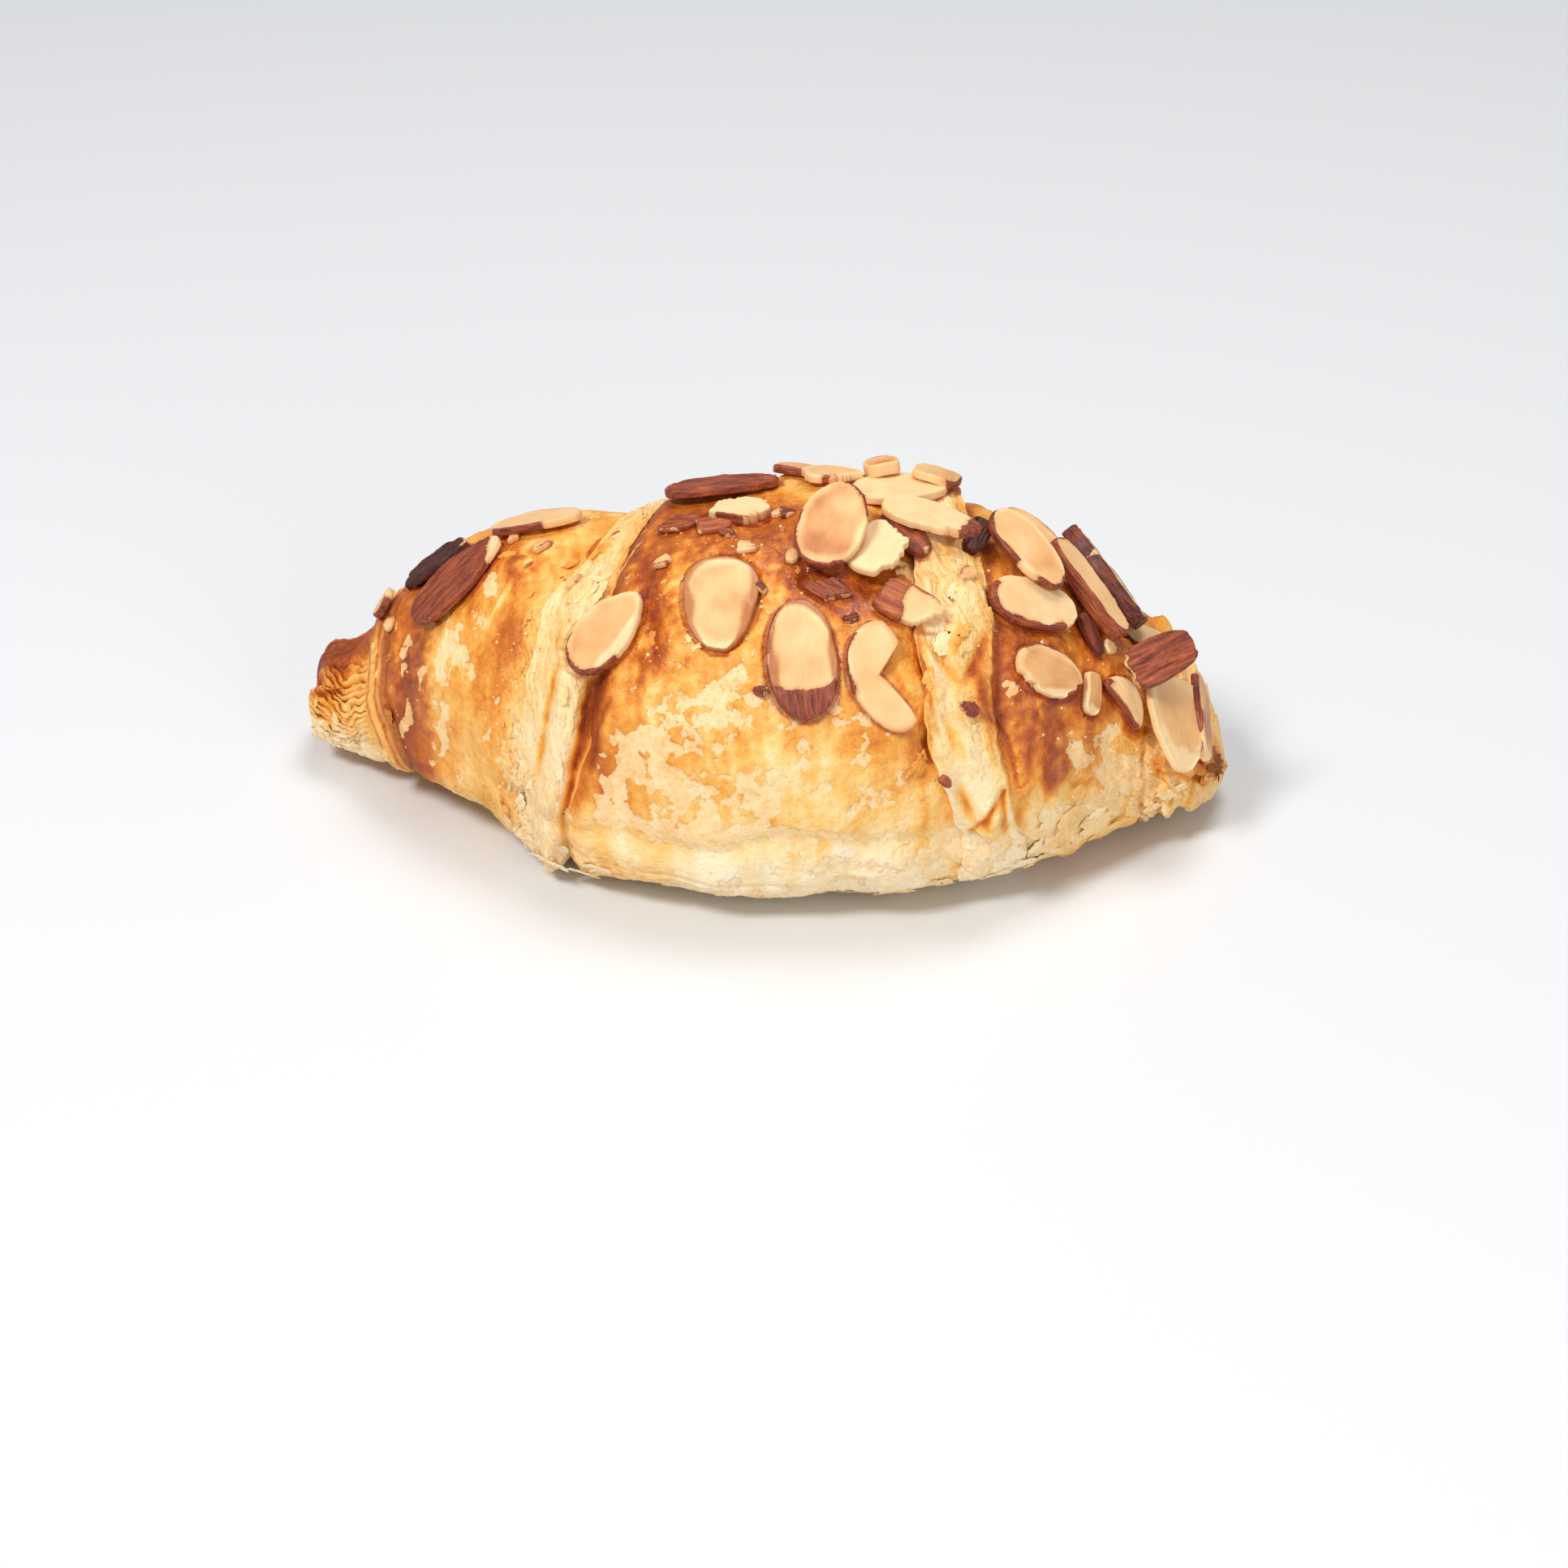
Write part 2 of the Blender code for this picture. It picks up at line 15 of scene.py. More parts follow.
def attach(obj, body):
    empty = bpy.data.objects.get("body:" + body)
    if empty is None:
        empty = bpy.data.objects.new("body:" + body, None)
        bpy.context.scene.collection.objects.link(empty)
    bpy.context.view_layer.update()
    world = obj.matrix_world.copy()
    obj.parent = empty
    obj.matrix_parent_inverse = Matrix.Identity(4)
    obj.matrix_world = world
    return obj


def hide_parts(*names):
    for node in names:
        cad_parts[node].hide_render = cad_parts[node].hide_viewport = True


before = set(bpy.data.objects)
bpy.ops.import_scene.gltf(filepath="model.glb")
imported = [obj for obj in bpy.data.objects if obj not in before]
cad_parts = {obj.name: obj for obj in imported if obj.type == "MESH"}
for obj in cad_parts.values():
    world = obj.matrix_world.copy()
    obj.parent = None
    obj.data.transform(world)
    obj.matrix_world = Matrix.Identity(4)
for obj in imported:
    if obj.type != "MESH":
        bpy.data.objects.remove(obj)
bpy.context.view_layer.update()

MM = 0.001
ORIGIN_SHIFT = np.array([2.36, 2.86, 0.0])   # from the roll's own x and y to the frame's

# ---------------------------------------------------------------- camera, light and floor

PHOTO_SIDE = 1932           # pixels
CAMERA_FOCUS = 4690.0       # focal length in those pixels
CAMERA_DISTANCE = 690.0
CAMERA_HEIGHT_ANGLE = 28.6
CAMERA_SIDE_ANGLE = 6.0
CAMERA_TARGET = np.array([0.0, -2.0, 26.0])
CAMERA_TARGET_PIXEL = (950.0, 846.0)
CAMERA_TURNS = 6            # small turns that bring the target to its pixel
NEAREST_SEEN = 0.05         # metres
SENSOR_WIDTH = 36.0

# Softboxes: name, place in metres, size in metres, power in watts
SOFTBOXES = (
    ("key", (-0.50, -0.66, 1.05), 0.34, 11.2),
    ("top", (0.15, 0.30, 1.15), 0.60, 6.0),
    ("right fill", (0.75, -0.95, 0.50), 0.70, 4.2),
)
SOFTBOX_TARGET = np.array([0.0, 0.0, 0.03])
SKY_COLOUR = (0.95, 0.98, 1.0, 1.0)
SKY_STRENGTH = 0.32
FLOOR_HALF = 4.0            # metres
FLOOR_DROP = 0.0002         # metres from the croissant down to the floor
FLOOR_TONES = ((226, 227, 229), (230, 231, 232))
FLOOR_CLOUDS = 3.0          # clouds of tone across the floor
FLOOR_ROUGHNESS = 0.45


def unit(vector):
    return vector / np.linalg.norm(vector)


def camera_axes():
    """Where the camera stands, and its right, up and forward directions."""
    height, side = np.radians((CAMERA_HEIGHT_ANGLE, CAMERA_SIDE_ANGLE))
    to_target = np.array([-np.sin(side) * np.cos(height), np.cos(side) * np.cos(height),
                          -np.sin(height)])
    place = CAMERA_TARGET - to_target * CAMERA_DISTANCE
    wanted_x = (CAMERA_TARGET_PIXEL[0] - PHOTO_SIDE / 2) / CAMERA_FOCUS
    wanted_y = (PHOTO_SIDE / 2 - CAMERA_TARGET_PIXEL[1]) / CAMERA_FOCUS
    forward = to_target
    for _ in range(CAMERA_TURNS):
        right = unit(np.cross(forward, [0, 0, 1]))
        up = np.cross(right, forward)
        depth = to_target @ forward
        forward = unit(forward + right * (to_target @ right / depth - wanted_x)
                       + up * (to_target @ up / depth - wanted_y))
    right = unit(np.cross(forward, [0, 0, 1]))
    return place, right, np.cross(right, forward), forward


def add_turned(name, data, right, up, back, place):
    """A camera or lamp in the scene, turned to its axes, at its place in metres."""
    made = bpy.data.objects.new(name, data)
    bpy.context.scene.collection.objects.link(made)
    matrix = np.eye(4)
    matrix[:3] = np.stack([right, up, back, place], axis=1)
    made.matrix_world = Matrix(matrix.tolist())
    return made


def add_camera():
    place, right, up, forward = camera_axes()
    data = bpy.data.cameras.new("camera")
    data.sensor_width = SENSOR_WIDTH
    data.lens = CAMERA_FOCUS / PHOTO_SIDE * SENSOR_WIDTH
    data.clip_start = NEAREST_SEEN
    place = (place + ORIGIN_SHIFT) * MM
    bpy.context.scene.camera = add_turned("camera", data, right, up, -forward, place)


def add_softbox(name, place, size, power):
    data = bpy.data.lights.new(name, "AREA")
    data.shape = "DISK"
    data.size = size
    data.energy = power
    back = unit(np.array(place) - SOFTBOX_TARGET)
    side = unit(np.cross([0, 1, 0], back))
    add_turned(name, data, side, np.cross(back, side), back, place)


def add_studio():
    scene = bpy.context.scene
    scene.view_settings.view_transform = "Standard"
    scene.world = bpy.data.worlds.new("studio")
    scene.world.use_nodes = True
    sky = scene.world.node_tree.nodes["Background"]
    sky.inputs["Color"].default_value = SKY_COLOUR
    sky.inputs["Strength"].default_value = SKY_STRENGTH
    for row in SOFTBOXES:
        add_softbox(*row)
    mesh = bpy.data.meshes.new("floor")
    corners = [(x * FLOOR_HALF, y * FLOOR_HALF, -FLOOR_DROP)
               for x, y in ((-1, -1), (1, -1), (1, 1), (-1, 1))]
    mesh.from_pydata(corners, [], [(0, 1, 2, 3)])
    floor = bpy.data.objects.new("floor", mesh)
    scene.collection.objects.link(floor)
    paint = Paint("pale_floor")
    tone = paint.node("ShaderNodeTexNoise", {}, {"Scale": FLOOR_CLOUDS}, "Fac")
    paint.set("Base Color", paint.blend(tone, *(srgb(*colour) for colour in FLOOR_TONES)))
    paint.set("Roughness", FLOOR_ROUGHNESS)
    mesh.materials.append(paint.material)


# ---------------------------------------------------------------- materials as expressions

def srgb(red, green, blue):
    """A colour as a screen shows it, from 0 to 255, turned into light."""
    screen = np.array([red, green, blue]) / 255
    light = np.where(screen < 0.04045, screen / 12.92, ((screen + 0.055) / 1.055) ** 2.4)
    return (*light.tolist(), 1.0)


class Wire:
    """A value on its way through a material. Maths on it adds the nodes."""

    def __init__(self, paint, socket):
        self.paint = paint
        self.socket = socket

    def maths(self, operation, first, second):
        return self.paint.node("ShaderNodeMath", {"operation": operation},
                               {0: first, 1: second})

    def __add__(self, other):
        return self.maths("ADD", self, other)

    __radd__ = __add__

    def __sub__(self, other):
        return self.maths("SUBTRACT", self, other)

    def __rsub__(self, other):
        return self.maths("SUBTRACT", other, self)

    def __mul__(self, other):
        return self.maths("MULTIPLY", self, other)

    __rmul__ = __mul__

    def above(self, start, end):
        """0 below start, 1 above end, and smooth between them."""
        return self.paint.node("ShaderNodeMapRange", {"interpolation_type": "SMOOTHSTEP"},
                               {"Value": self, "From Min": start, "From Max": end})

    def spread(self, width):
        """Noise from 0 to 1, brought to lie round 0 with this width."""
        return (self - 0.5) * width


class Paint:
    """The nodes of one material."""

    def __init__(self, name):
        self.material = bpy.data.materials.new(name)
        self.material.use_nodes = True
        self.tree = self.material.node_tree
        self.shader = self.tree.nodes["Principled BSDF"]

    def feed(self, socket, value):
        if isinstance(value, Wire):
            self.tree.links.new(value.socket, socket)
        else:
            socket.default_value = value

    def set(self, name, value):
        self.feed(self.shader.inputs[name], value)

    def node(self, kind, settings, inputs, outlet=0):
        made = self.tree.nodes.new(kind)
        for name, value in settings.items():
            if name == "stops":
                self.set_stops(made.color_ramp, value)
            else:
                setattr(made, name, value)
        for name, value in inputs.items():
            self.feed(made.inputs[name], value)
        return Wire(self, made.outputs[outlet])

    def set_stops(self, ramp, stops):
        while len(ramp.elements) < len(stops):
            ramp.elements.new(0.5)
        for element, (place, *colour) in zip(ramp.elements, stops):
            element.position = place
            element.color = srgb(*colour)

    def painted(self, name, outlet="Fac"):
        """A number painted on the mesh, or a vector."""
        return self.node("ShaderNodeAttribute", {"attribute_name": name}, {}, outlet)

    def place(self):
        return self.node("ShaderNodeTexCoord", {}, {}, "Object")

    def stretch(self, vector, scale):
        return self.node("ShaderNodeVectorMath", {"operation": "MULTIPLY"},
                         {0: vector, 1: scale})

    def noise(self, vector, size, detail=2.0, rough=0.5):
        """Noise from 0 to 1 with hills about size apart, in the vector's unit."""
        return self.node("ShaderNodeTexNoise", {},
                         {"Vector": vector, "Scale": 1.0 / size, "Detail": detail,
                          "Roughness": rough}, "Fac")

    def ramp(self, value, stops):
        return self.node("ShaderNodeValToRGB", {"stops": stops}, {"Fac": value}, "Color")

    def blend(self, share, first, second, mode="MIX"):
        settings = {"data_type": "RGBA", "blend_type": mode}
        return self.node("ShaderNodeMix", settings, {0: share, 6: first, 7: second}, 2)

    def relief(self, height, depth, under=None):
        """A bump of the given depth in metres, over the one under it."""
        inputs = {"Height": height, "Distance": depth, "Strength": 1.0}
        if under is not None:
            inputs["Normal"] = under
        return self.node("ShaderNodeBump", {}, inputs, "Normal")


# ---------------------------------------------------------------- noise for shapes

# Each noise: strength, size of its hills in the unit of the points that it is drawn on, and
# a number that sets it apart. Rough ones add octaves, and how faint each is beside the last.
NOISES = {
    "seam": (1.0, 7.0, 90), "seam kinks": (0.6, 2.6, 91),
    "tip edge": (1.0, 4.0, 92), "tip edge kinks": (0.5, 1.8, 93),
    "places along": (1.8, 7.0, 1), "places round": (4.0, 6.0, 2),
    "chips bent": (0.7, 1.8, 25), "flaking": (0.36, 2.8, 20, 4, 0.6),
    "bake": (0.07, 6.5, 30, 3, 0.5), "streaks bent": (1.7, 9.0, 38),
    "streaks": (0.11, 3.4, 39, 3, 0.5), "island edges": (0.22, 2.2, 36, 2, 0.5),
    "glaze blotches": (0.22, 2.4, 37, 2, 0.5), "drip widths": (0.25, 2.5, 35),
    "creases": (0.28, 3.5, 65, 2, 0.5), "chevrons": (1.5, 5.0, 60),
    "chevron kinks": (0.9, 2.2, 63), "slit widths": (0.24, 3.0, 62),
    "slit gaps": (1.0, 1.0, 61), "layers bent": (0.9, 5.0, 55), "layers": (1.0, 1.0, 50),
    "torn layers": (0.30, 1.8, 51), "fibres": (1.0, 1.0, 52),
    "coarse crumb": (1.0, 1.5, 53, 2, 0.5), "swells": (0.42, 8.0, 40),
    "dimples": (0.15, 3.4, 41), "pits": (0.08, 1.5, 42), "lumps": (1.0, 3.6, 46, 3, 0.6),
    "wrinkles": (1.0, 1.0, 45), "blistered places": (1.0, 9.0, 44),
    "slice outline": (0.22, 5.0, 70), "slice nicks": (0.18, 2.0, 71),
    "slice fringe": (0.08, 0.8, 72), "breaks": (0.9, 2.4, 78), "break teeth": (0.35, 1.0, 79),
    "bark edge": (0.8, 3.0, 80), "rim width": (1.5, 3.5, 76), "peel edge": (0.5, 2.2, 81),
    "skin wrinkles": (1.0, 1.3, 82), "skin nicks": (2.4, 2.6, 83),
    "fine skin nicks": (1.2, 0.9, 84), "skin breaks": (0.9, 1.5, 85),
    "tan edge": (0.7, 5.0, 77), "tan clouds": (0.6, 6.0, 89), "tan blotches": (0.10, 2.5, 86),
    "pale edge": (0.9, 2.8, 87), "amber edge": (1.1, 6.0, 88),
    "face swells": (0.12, 5.0, 73), "face dimples": (0.05, 1.6, 74),
    "face strands": (0.05, 1.0, 75), "flake outline": (0.55, 1.3, 95),
    "flake nicks": (0.35, 0.6, 96), "flake curl": (0.25, 1.0, 97),
}
NOISE_GAIN = 1.5            # brings noise to run from about -1 to 1
FAR = 9.0                   # further than any seed of a cell, or any edge of a slice in mm

# Large odd numbers that scramble whole numbers
SCRAMBLE_PLACE = (73856093, 19349663, 83492791)
SCRAMBLE_SALT = 668265263
SCRAMBLE_MORE = (0x2C1B3C6D, 0x297A2D39)
LOW_BITS = 0xFFFFFFFF

CORNERS = tuple(itertools.product((0, 1), repeat=3))
NEIGHBOURS = tuple(itertools.product((-1, 0, 1), repeat=3))


def scramble(cell, salt):
    """A number from 0 to 1 for each whole-numbered place."""
    x, y, z = (cell[..., k].astype(np.int64) * SCRAMBLE_PLACE[k] for k in range(3))
    mixed = (x ^ y ^ z ^ (salt * SCRAMBLE_SALT)) & LOW_BITS
    mixed = ((mixed ^ (mixed >> 15)) * SCRAMBLE_MORE[0]) & LOW_BITS
    mixed = ((mixed ^ (mixed >> 12)) * SCRAMBLE_MORE[1]) & LOW_BITS
    return (mixed ^ (mixed >> 15)) / 2.0 ** 32


def noise(points, size, salt=0):
    """Smooth noise from about -1 to 1, with hills about size apart."""
    grid = points / size
    base = np.floor(grid)
    offset = grid - base
    fade = offset ** 3 * (offset * (offset * 6 - 15) + 10)
    total = 0
    for corner in CORNERS:
        toward = offset - np.array(corner)
        share = np.prod(np.where(np.array(corner) == 1, fade, 1 - fade), axis=-1)
        push = [scramble(base + np.array(corner), 3 * salt + k) * 2 - 1 for k in range(3)]
        total = total + share * (toward * np.stack(push, -1)).sum(-1)
    return total * NOISE_GAIN


def uneven(name, points):
    """The noise that a row of NOISES describes."""
    strength, size, salt, *rough = NOISES[name]
    octaves, fall = rough or (1, 1.0)
    total = 0
    for octave in range(octaves):
        total = total + strength * noise(points, size, salt + octave)
        size *= 0.5
        strength *= fall
    return total


def ridged(name, points):
    """Noise with sharp ridges that are 1 high."""
    return 1 - 2 * np.abs(uneven(name, points))


def cells(points, size, salt=0):
    """Scattered cells: distance to the nearest and next seed, and a number per cell."""
    grid = points / size
    base = np.floor(grid)
    nearest = np.full(grid.shape[:-1], FAR)
    second = nearest.copy()
    label = np.zeros_like(nearest)
    for step in NEIGHBOURS:
        cell = base + np.array(step)
        seed = cell + np.stack([scramble(cell, 5 * salt + k) for k in range(3)], -1)
        distance = np.linalg.norm(grid - seed, axis=-1)
        closer = distance < nearest
        second = np.where(closer, nearest, np.minimum(second, distance))
        label = np.where(closer, scramble(cell, 5 * salt + 4), label)
        nearest = np.minimum(nearest, distance)
    return nearest, second, label


def bump(value, centre, half_width):
    """A smooth hill, 1 at its centre."""
    return np.exp(-((value - centre) / half_width) ** 2)


def ease(value, start, end):
    """0 at start, 1 at end and smooth between them. Start may be the larger."""
    t = np.clip((value - start) / (end - start), 0, 1)
    return t * t * (3 - 2 * t)


def window(value, start, full, fading, end):
    """1 from full to fading, and 0 before start and after end."""
    return ease(value, start, full) * (1 - ease(value, fading, end))


def hills(rows, x, degrees):
    """The sum of smooth hills: x, half width, angle, half width, amount."""
    total = 0
    for place, half_width, direction, half_angle, amount in rows:
        total = total + amount * bump(x, place, half_width) * bump(degrees, direction, half_angle)
    return total


def circle(radius, angle, height=0.0):
    """Points on a ring, to draw noise on that closes on itself."""
    return np.stack([radius * np.cos(angle), radius * np.sin(angle), height + 0 * angle], -1)


# ---------------------------------------------------------------- the roll's plain form

STATION_X = (-89.5, -80, -70, -52, -43, -30, -8, 22, 47, 63, 77, 83)
STATIONS = {
    "middle": (16, 14, 12, 7.5, 4, 0, -4, -2, 2, 7.5, 10, 12),       # y of the centre line
    "base": (5.0, 3.6, 3.2, 3.0, 0.0, -0.6, -0.8, -0.8, -0.4, 2.0, 2.4, 3.0),
    "crest": (19, 22.5, 33, 45.5, 49.5, 53, 61, 61.5, 51, 36.5, 24, 11),
    "front": (8.5, 12.5, 18.8, 28.0, 33.5, 38.5, 40, 40.5, 33.5, 23, 15, 5.5),
    "back": (8.0, 12.5, 20, 29.5, 33, 38, 40.5, 41, 32.5, 23.5, 15, 5.5),
}
LEFT_END, RIGHT_END = STATION_X[0], STATION_X[-1]
CENTRE_HEIGHT = 0.40        # of the way from the base to the crest
UPPER_POWER = 2.15          # roundness of the section above its centre, and below it
LOWER_POWER = 2.6
END_ROUND = 3.5             # length over which each end closes
END_POWER = 2.2
END_FADE = 9.0              # length over which the relief fades towards an end
END_RELIEF = 0.35           # share of the relief that is left there

# Each seam is where one turn of the dough ends on the next. Its x is given at these angles.
SEAM_ANGLES = (-90, -15, 25, 60, 95, 180, 270)
SEAMS = {
    "collar left": (-66, -71, -75, -75, -74.5, -73, -66),
    "collar right": (-60, -65, -70, -70.6, -70, -68, -60),
    "left band left": (-40, -42, -41, -38, -30, -24, -40),
    "left band right": (-30, -32.5, -27.5, -26.5, -23, -14, -30),
    "right band left": (34, 37, 30.3, 27, 24, 12, 34),
    "right band right": (44, 48, 42, 40, 35, 22, 44),
    "right collar": (66, 67.5, 67.5, 71.5, 73, 70, 66),
}

# How far each seam wanders to and fro, in the same order
SEAM_WANDER = (0.25, 0.35, 0.7, 0.6, 0.8, 0.9, 0.7)
SEAM_RING, SEAM_RING_STEP = 36.0, 30.0      # the rings on which that wandering is drawn


@dataclass
class Zone:
    """The crust between two seams. Heights stand out of the plain form."""
    name: str
    columns: int                # rows of vertices across it
    raised: float = 0.0         # height of the whole zone
    pillow: float = 0.0         # extra height of its middle
    from_left: tuple = ()       # ridges: distance from the left seam, half width, height
    from_right: tuple = ()      # ridges: distance from the right seam, half width, height
    across: tuple = ()          # ridges: share of the zone's width, half width, height
    waves: tuple = (0.0, 0.0)   # half waves across the zone, and their height
    crest_height: float = 1.0   # share of the relief that is left over the crest


TIP, COLLAR, LEFT_PART, LEFT_BAND, MIDDLE, RIGHT_BAND, RIGHT_PART, RIGHT_TIP = range(8)
ZONES = (
    Zone("left tip", 56, from_right=((0, 3.0, -1.2),)),
    Zone("collar of two strips", 24, raised=1.2, from_right=((0, 0.8, -0.8),),
         waves=(3.0, 0.5)),
    Zone("left segment", 112, pillow=1.7, from_left=((1.5, 2.0, 0.9),),
         from_right=((0, 4.0, -0.8),)),
    Zone("left band", 66, across=((0.10, 0.15, -0.6), (0.56, 0.20, 2.2), (0.93, 0.09, -1.7)),
         crest_height=0.4),
    Zone("outermost turn", 204, pillow=1.5, from_left=((3.0, 2.5, 0.9), (0, 1.3, -0.8)),
         from_right=((0, 1.6, -0.9),)),
    Zone("right band", 54, raised=0.9, across=((0.85, 0.30, 0.8),), waves=(4.0, 0.5)),
    Zone("right segment", 94, pillow=1.3, from_left=((0, 3.0, -1.4),), waves=(7.0, 0.4)),
    Zone("crumbly right end", 54, from_left=((0, 1.5, -1.1),), waves=(8.0, 0.9)),
)
PILLOW_POWER = 0.7          # how square the pillows are
ZONE_WAVE_DRIFT = 3.0       # how often the waves across a zone sway as they go round
CREST_START, CREST_END = 45, 85         # angles between which crest_height sets in
FIRST_ROW, LAST_ROW = 0.006, 0.994      # shares of the end zones where the end caps begin
END_CAPS = (0.1, 0.6)       # how far the middle of the left and right end stands out
FRONT_ANGLES = (-52, 130, 390)     # the side that shows is divided finely: from, to, steps
REAR_STEPS = 90

TIP_LOBES = ((82, 28, 1.6), (-18, 24, 1.3))      # angle, half width in degrees, height
TIP_NOTCH = (43, 9, 2.6)    # between the lobes: angle, half width, depth into the end
UPPER_LOBE = (42, 56, 170, 200)     # angles between which the upper lobe begins and ends
UPPER_LOBE_SHORTER = 1.3
TIP_LENGTH = 13.0
TIP_RAGGED = 2.4            # how unevenly the layers end at the tip
TIP_RING = 9.0              # radius of the ring on which that is drawn

FOOT_CREASE = -9.0          # angle of the crease above the squashed foot
FOOT_CREASE_DEPTH, FOOT_CREASE_HALF = 1.1, 3.5
FOOT_CREASE_WAVES = ((2.0, 9.0), (1.2, 4.3))     # degrees up and down, wavelength / 2 pi
FOOT_BULGE, FOOT_BULGE_BELOW, FOOT_BULGE_HALF = 1.7, 17, 9.0
FOOT_REACH = (-52.0, -40.0, 41.0, 53.0)     # x between which the foot begins and ends

# Slow waves of the crust: height, wavelength / 2 pi along x, waves round, and a bend
WAVES = ((0.55, 6.1, 5.0, 17.0), (0.45, 3.7, 9.0, -8.0), (0.50, 11.0, 3.0, 40.0))
WAVE_SWAY, WAVE_SWAY_COUNT = 1.3, 2.0       # how far and how often they sway round the roll

# Two folds of loose crust: x, half width, angle, half width, height. The first is a flap at
# the foot of the right band, the second a curl behind the right-hand almonds.
FOLDS = ((43.0, 4.5, 2.0, 10.0, 3.0), (69.5, 5.5, 112.0, 9.0, 2.6))

# Smaller lumps, pinches and creases, and the heaps of crust that carry raised slices, in the
# same columns
PINCHES = (
    (42.4, 2.0, -4.0, 6.0, 2.2), (46.6, 1.3, -3.0, 5.0, -0.8), (80.0, 2.4, 14.0, 16.0, 1.6),
    (-30.0, 0.9, 84.0, 12.0, 0.6), (-39.0, 6.0, -32.0, 10.0, 2.2), (-86.2, 1.6, 84.0, 20.0, 0.6),
    (-81.0, 3.6, 92.0, 26.0, -2.0), (13.4, 5.2, 77.0, 9.5, 7.5), (19.0, 5.0, 105.0, 5.0, 3.2),
    (10.0, 5.0, 103.0, 5.0, 1.6), (3.9, 4.0, 113.0, 5.0, 1.6), (43.5, 4.0, 86.0, 6.0, 2.4),
    (65.5, 4.5, 58.0, 15.0, 4.0), (27.5, 4.0, 105.0, 5.0, 3.0), (70.5, 3.0, 116.0, 8.0, 2.2),
    (67.0, 1.4, 112.0, 8.0, -1.0),
)

UNDERSIDE_CALM = 0.75       # share of the relief that the underside loses
UNDERSIDE_FROM = (0.5, 0.95)        # how far down the side that sets in
SURFACE_INSET = 0.12        # the crust lies this much lower, which leaves room for its grain
REAR_TUCK = (185, 45, 1.0)  # the back is drawn in to fit the roll: angle, half width, depth


def smooth_through(xs, ys, x):
    """A smooth curve through points, with no overshoot between them."""
    xs = np.asarray(xs, float)
    ys = np.asarray(ys, float)
    x = np.clip(x, xs[0], xs[-1])
    step = np.diff(xs)
    slope = np.diff(ys) / step
    tangent = np.zeros_like(ys)
    tangent[0] = slope[0]
    tangent[-1] = slope[-1]
    for i in range(1, len(xs) - 1):
        before, after = slope[i - 1], slope[i]
        if before * after > 0:
            w_before = 2 * step[i] + step[i - 1]
            w_after = step[i] + 2 * step[i - 1]
            tangent[i] = (w_before + w_after) / (w_before / before + w_after / after)
    k = np.clip(np.searchsorted(xs, x, side="right") - 1, 0, len(step) - 1)
    t = (x - xs[k]) / step[k]
    return ((1 + 2 * t) * (1 - t) ** 2 * ys[k] + t * (1 - t) ** 2 * step[k] * tangent[k]
            + t * t * (3 - 2 * t) * ys[k + 1] + t * t * (t - 1) * step[k] * tangent[k + 1])


def section(x):
    """The middle of the roll at x, and its reach to the front, back, up and down."""
    along = {name: smooth_through(STATION_X, values, x) for name, values in STATIONS.items()}
    centre_z = along["base"] + CENTRE_HEIGHT * (along["crest"] - along["base"])
    return (along["middle"], centre_z, along["front"], along["back"],
            along["crest"] - centre_z, centre_z - along["base"])


def plain_radius(x, angle):
    """Distance from the middle of the roll to its surface, without seams or relief."""
    _, _, front, back, up, down = section(x)
    cos, sin = np.cos(angle), np.sin(angle)
    across = np.where(cos > 0, front, back)
    tall = np.where(sin > 0, up, down)
    power = np.where(sin > 0, UPPER_POWER, LOWER_POWER)
    return ((np.abs(cos) / across) ** power + (np.abs(sin) / tall) ** power) ** (-1 / power)


def at_radius(x, angle, radius):
    middle, centre_z, *_ = section(x)
    return np.stack([x + 0 * angle, middle - radius * np.cos(angle),
                     centre_z + radius * np.sin(angle)], -1)


def unevenness(x, angle):
    """Slow waves that keep the crust from looking turned."""
    height = 0
    for number, (rise, length, round_count, bend) in enumerate(WAVES):
        sway = WAVE_SWAY * np.sin(angle * WAVE_SWAY_COUNT + number)
        along = np.sin(x / length + sway)
        height = height + rise * along * np.sin(angle * round_count + x / bend + number)
    return height


def foot_relief(x, degrees):
    """The pale foot that the dough's weight squashed out along the front."""
    line = FOOT_CREASE + sum(rise * np.sin(x / length) for rise, length in FOOT_CREASE_WAVES)
    crease = FOOT_CREASE_DEPTH * bump(degrees, line, FOOT_CREASE_HALF)
    bulge = FOOT_BULGE * bump(degrees, FOOT_CREASE - FOOT_BULGE_BELOW, FOOT_BULGE_HALF)
    return window(x, *FOOT_REACH) * (bulge - crease)


def zone_relief(zone, share, width, angle):
    """Height of a zone's surface over the plain form, at a share of the zone's width."""
    middle = np.sin(np.pi * np.clip(share, 0, 1)) ** PILLOW_POWER
    relief = zone.raised + zone.pillow * middle
    for ridges, measure in ((zone.from_left, share * width),
                            (zone.from_right, (1 - share) * width), (zone.across, share)):
        for place, half_width, height in ridges:
            relief = relief + height * bump(measure, place, half_width)
    count, height = zone.waves
    drift = np.sin(angle * ZONE_WAVE_DRIFT)
    relief = relief + height * middle * np.sin(share * count * np.pi + drift)
    over_crest = ease(np.degrees(angle), CREST_START, CREST_END)
    return relief * (1 - (1 - zone.crest_height) * over_crest)


def tip_relief(x, degrees):
    """The two lobes of the rolled left tip."""
    near_end = 1 - ease(x, LEFT_END, LEFT_END + TIP_LENGTH)
    return near_end * sum(height * bump(degrees, place, half_width)
                          for place, half_width, height in TIP_LOBES)


